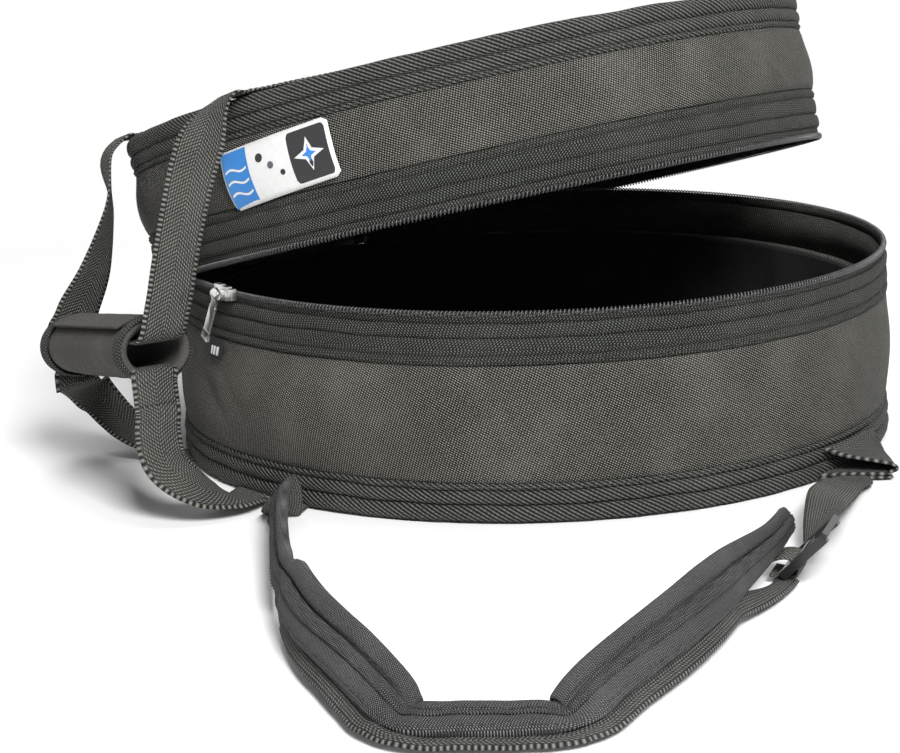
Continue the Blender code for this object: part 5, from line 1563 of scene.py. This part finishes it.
# %% Zip slider
ZIP_START = math.radians(217.5)
SLIDER_OUT, SLIDER_RISE = 0.00205, 0.1068
slider_place = Matrix.Translation((BASE_RADIUS + SLIDER_OUT, 0.0, SLIDER_RISE))
slider_frame = Matrix.Rotation(ZIP_START, 4, "Z") @ slider_place
slider_low, slider_high = (Vector(v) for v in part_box("zip_slider"))
wedge = [block(slider_frame, (0.0034, 0.0062, 0.0086), y=-0.0054),
         block(slider_frame, (0.0034, 0.0085, 0.0074)),
         block(slider_frame, (0.0034, 0.0046, 0.0060), y=0.0062),
         block(slider_frame, (0.0034, 0.0024, 0.0030), x=0.0030),
         block(slider_frame, (0.0018, 0.0110, 0.0026), x=0.0028)]
moulded("zip_slider_body", wedge, [], 0.0007, METAL, "zip_slider", "zip_slider")
print("slider's centre in the packed model", [round(v, 4) for v in (slider_low + slider_high) / 2.0])

# %% Zip pull
PULL_AT, PULL_HANG = Vector((-0.164541, -0.126257, SLIDER_RISE)), math.radians(-30.0)
out_way, side_way = heading(ZIP_START), across_heading(ZIP_START)
hang_turn = Matrix.Rotation(PULL_HANG, 3, out_way)
pull_axes = Matrix((out_way, hang_turn @ side_way, hang_turn @ UP)).transposed().to_4x4()
pull_frame = Matrix.Translation(PULL_AT) @ pull_axes
eye_frame = pull_frame @ Matrix.Rotation(math.radians(90.0), 4, "X")
bail = [("rod", eye_frame, (0.0027, 0.0052)), block(pull_frame, (0.0015, 0.0046, 0.0064), z=-0.0052),
        block(pull_frame, (0.0013, 0.0056, 0.0215), z=-0.0185),
        block(pull_frame, (0.0017, 0.0060, 0.0060), z=-0.0270)]
faces = moulded("zip_pull_body", bail, [("rod", eye_frame, (0.0014, 0.020))], 0.00035, METAL, "zip_pull",
                "zip_pull_tab", segments=2)
print("pull made, with", faces, "faces")

# %% Zip stop
stop_low, stop_high = (Vector(v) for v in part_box("zip_bottom_stop"))
stop_middle = (stop_low + stop_high) / 2.0
stop_turn = Matrix.Rotation(math.atan2(stop_middle.y, stop_middle.x), 4, "Z")
stop_frame = stop_turn @ Matrix.Translation((stop_middle.xy.length, 0.0, stop_middle.z))
stop_parts = [block(stop_frame, (0.0019, 0.0068, 0.0048)),
              block(stop_frame, (0.0019, 0.0030, 0.0040), x=0.0004)]
moulded("zip_stop_body", stop_parts, [], 0.0006, METAL, "base", "zip_bottom_stop")
print("stop at", [round(v, 4) for v in stop_middle])

# %% [markdown]
# ## Badge and side tag
# The badge is a printed patch sewn to the lid's wall: a white card with a blue block at one end
# and a dark panel at the other, each with a simple motif. The tag is a loop of satin ribbon.

# %% Badge helpers
BADGE_HALF_X, BADGE_HALF_Y, BADGE_RISE = 0.035, 0.0155, 0.1524
BADGE_AZIMUTH, BADGE_TURN = math.radians(241.0), math.radians(4.5)


def on_badge(x, y, lift):
    """A place on the patch: metres to the right and up from its middle, and off its face."""
    cosine, sine = math.cos(BADGE_TURN), math.sin(BADGE_TURN)
    x, y = x * cosine - y * sine, x * sine + y * cosine
    belly = 0.0030 * wall_belly(BADGE_RISE + y, LID_WALL_LOW, LID_WALL_HIGH)
    radius = LID_RADIUS + 0.0016 + belly + lift
    return lid_open @ ring_at(BADGE_AZIMUTH + x / (LID_RADIUS + 0.003), radius, BADGE_RISE + y)


def patch(name, low, high, lift, surface, radius=0.0, thick=0.0):
    """A piece of the printed patch that follows the lid's curve, with round corners where asked."""
    rows = []
    for x in np.linspace(low[0], high[0], 25):
        near = min(x - low[0], high[0] - x)
        limit = radius - math.sqrt(max(0.0, radius ** 2 - (radius - near) ** 2)) if near < radius else 0.0
        ys = [min(max(y, low[1] + limit), high[1] - limit) for y in np.linspace(low[1], high[1], 13)]
        row = [on_badge(x, y, lift) for y in ys]
        rows.append(row + [on_badge(x, y, lift - thick) for y in reversed(ys)] if thick else row)
    made = grid_piece(name, rows, surface, "lid", loop_section=bool(thick), ends=bool(thick))
    return made


def shape_patch(name, outline, lift, surface, fan):
    """A small printed motif: a filled outline on the patch, cut into a fan where it isn't a plain band."""
    shape = bmesh.new()
    corners = [shape.verts.new(on_badge(x, y, lift)) for x, y in outline]
    if fan:
        heart = shape.verts.new(on_badge(*np.mean(outline, 0), lift))
        for corner, following in zip(corners, corners[1:] + corners[:1]):
            shape.faces.new((heart, corner, following))
    else:
        shape.faces.new(corners)
    mesh = bpy.data.meshes.new(name)
    shape.to_mesh(mesh)
    shape.free()
    mesh.uv_layers.new(name="metres")
    new_piece(name, mesh, surface, "lid")


def round_outline(x, y, radii):
    """A closed outline about a place, through the given radii at even angles."""
    turns = [math.tau * k / len(radii) for k in range(len(radii))]
    return [(x + r * math.cos(turned), y + r * math.sin(turned)) for r, turned in zip(radii, turns)]


print("badge's middle", [round(v, 4) for v in on_badge(0.0, 0.0, 0.0)])

# %% Badge
PRINT_RISE, MOTIF_RISE, HEART_RISE, ROUND = 0.00098, 0.00112, 0.0012, 0.0022
BADGE_WHITE = hard_material("badge_white", (0.80, 0.80, 0.79), 0.0, 0.30, 0.15, 0.00002)
BADGE_BLUE = hard_material("badge_blue", (0.035, 0.23, 0.62), 0.0, 0.30, 0.15, 0.00002)
BADGE_DARK = hard_material("badge_dark", (0.020, 0.020, 0.022), 0.0, 0.30, 0.15, 0.00002)
BADGE_GREY = hard_material("badge_grey", (0.10, 0.11, 0.12), 0.0, 0.32, 0.15, 0.00002)
card = patch("badge_card", (-BADGE_HALF_X, -BADGE_HALF_Y), (BADGE_HALF_X, BADGE_HALF_Y), 0.0009, BADGE_WHITE,
             ROUND, 0.0009)
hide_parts("lid_badge")
patch("badge_blue_block", (-BADGE_HALF_X + 0.0009, -BADGE_HALF_Y + 0.0009),
      (-BADGE_HALF_X + 0.0185, BADGE_HALF_Y - 0.0009), PRINT_RISE, BADGE_BLUE)
patch("badge_dark_panel", (BADGE_HALF_X - 0.0250, -BADGE_HALF_Y + 0.0022),
      (BADGE_HALF_X - 0.0022, BADGE_HALF_Y - 0.0022), PRINT_RISE, BADGE_DARK, ROUND)
wave_steps = np.linspace(0.0, 1.0, 13)
for k in range(3):
    low_side = [(-BADGE_HALF_X + 0.0022 + t * 0.0150, -0.0085 + k * 0.0062 + 0.0011 * math.sin(t * math.tau))
                for t in wave_steps]
    outline = low_side + [(x, y + 0.0012) for x, y in reversed(low_side)]
    shape_patch("badge_wave_%d" % k, outline, MOTIF_RISE, BADGE_WHITE, fan=False)
for k in range(3):
    moon = round_outline(-0.0085 + k * 0.0062, 0.0065 - k * 0.0055, [0.0023 - 0.0004 * k] * 24)
    shape_patch("badge_moon_%d" % k, moon, MOTIF_RISE, BADGE_GREY if k % 2 else BADGE_DARK, fan=True)
for label, radii, rise, surface in (("star", (0.0088, 0.0034), MOTIF_RISE, BADGE_WHITE),
                                    ("star_heart", (0.0042, 0.0017), HEART_RISE, BADGE_BLUE)):
    star = round_outline(BADGE_HALF_X - 0.0136, 0.0, radii * 4)
    shape_patch("badge_" + label, star, rise, surface, fan=True)
print("badge", BADGE_HALF_X * 2.0, "by", BADGE_HALF_Y * 2.0, "m")

# %% Side tag
TAG_WIDTH, TAG_THICK = 0.0138, 0.0007
tag_low, tag_high = (Vector(v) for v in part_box("side_tag"))
tag_middle = (tag_low + tag_high) / 2.0
tag_azimuth = math.atan2(tag_middle.y, tag_middle.x)
tag_out, tag_side = heading(tag_azimuth), across_heading(tag_azimuth)
tag_top = ring_at(tag_azimuth, BASE_RADIUS + 0.0012, tag_high.z)
tag_line = [tag_top + tag_out * out - UP * down
            for out, down in ((0.0, 0.0), (0.0012, 0.0040), (0.0022, 0.0085), (0.0016, 0.0108))]
web_strip("tag_ribbon", tag_line, [tag_side] * 4, TAG_WIDTH, TAG_THICK, TAG_CLOTH, "base", steps=6, seed=2.0,
          wave=0.0002, replaces=["side_tag"])
for k, (aside, wide) in enumerate(((-0.0036, 0.0018), (-0.0008, 0.0022), (0.0026, 0.0026))):
    bar_line = [p + tag_out * 0.00062 + tag_side * aside for p in tag_line[1:3]]
    bar = web_strip("tag_print_%d" % k, bar_line, [tag_side] * 2, wide, 0.0002, BADGE_WHITE, "base",
                    steps=4, wave=0.0)
print("tag at", [round(v, 4) for v in tag_middle], "size", [round(v, 4) for v in tag_high - tag_low])
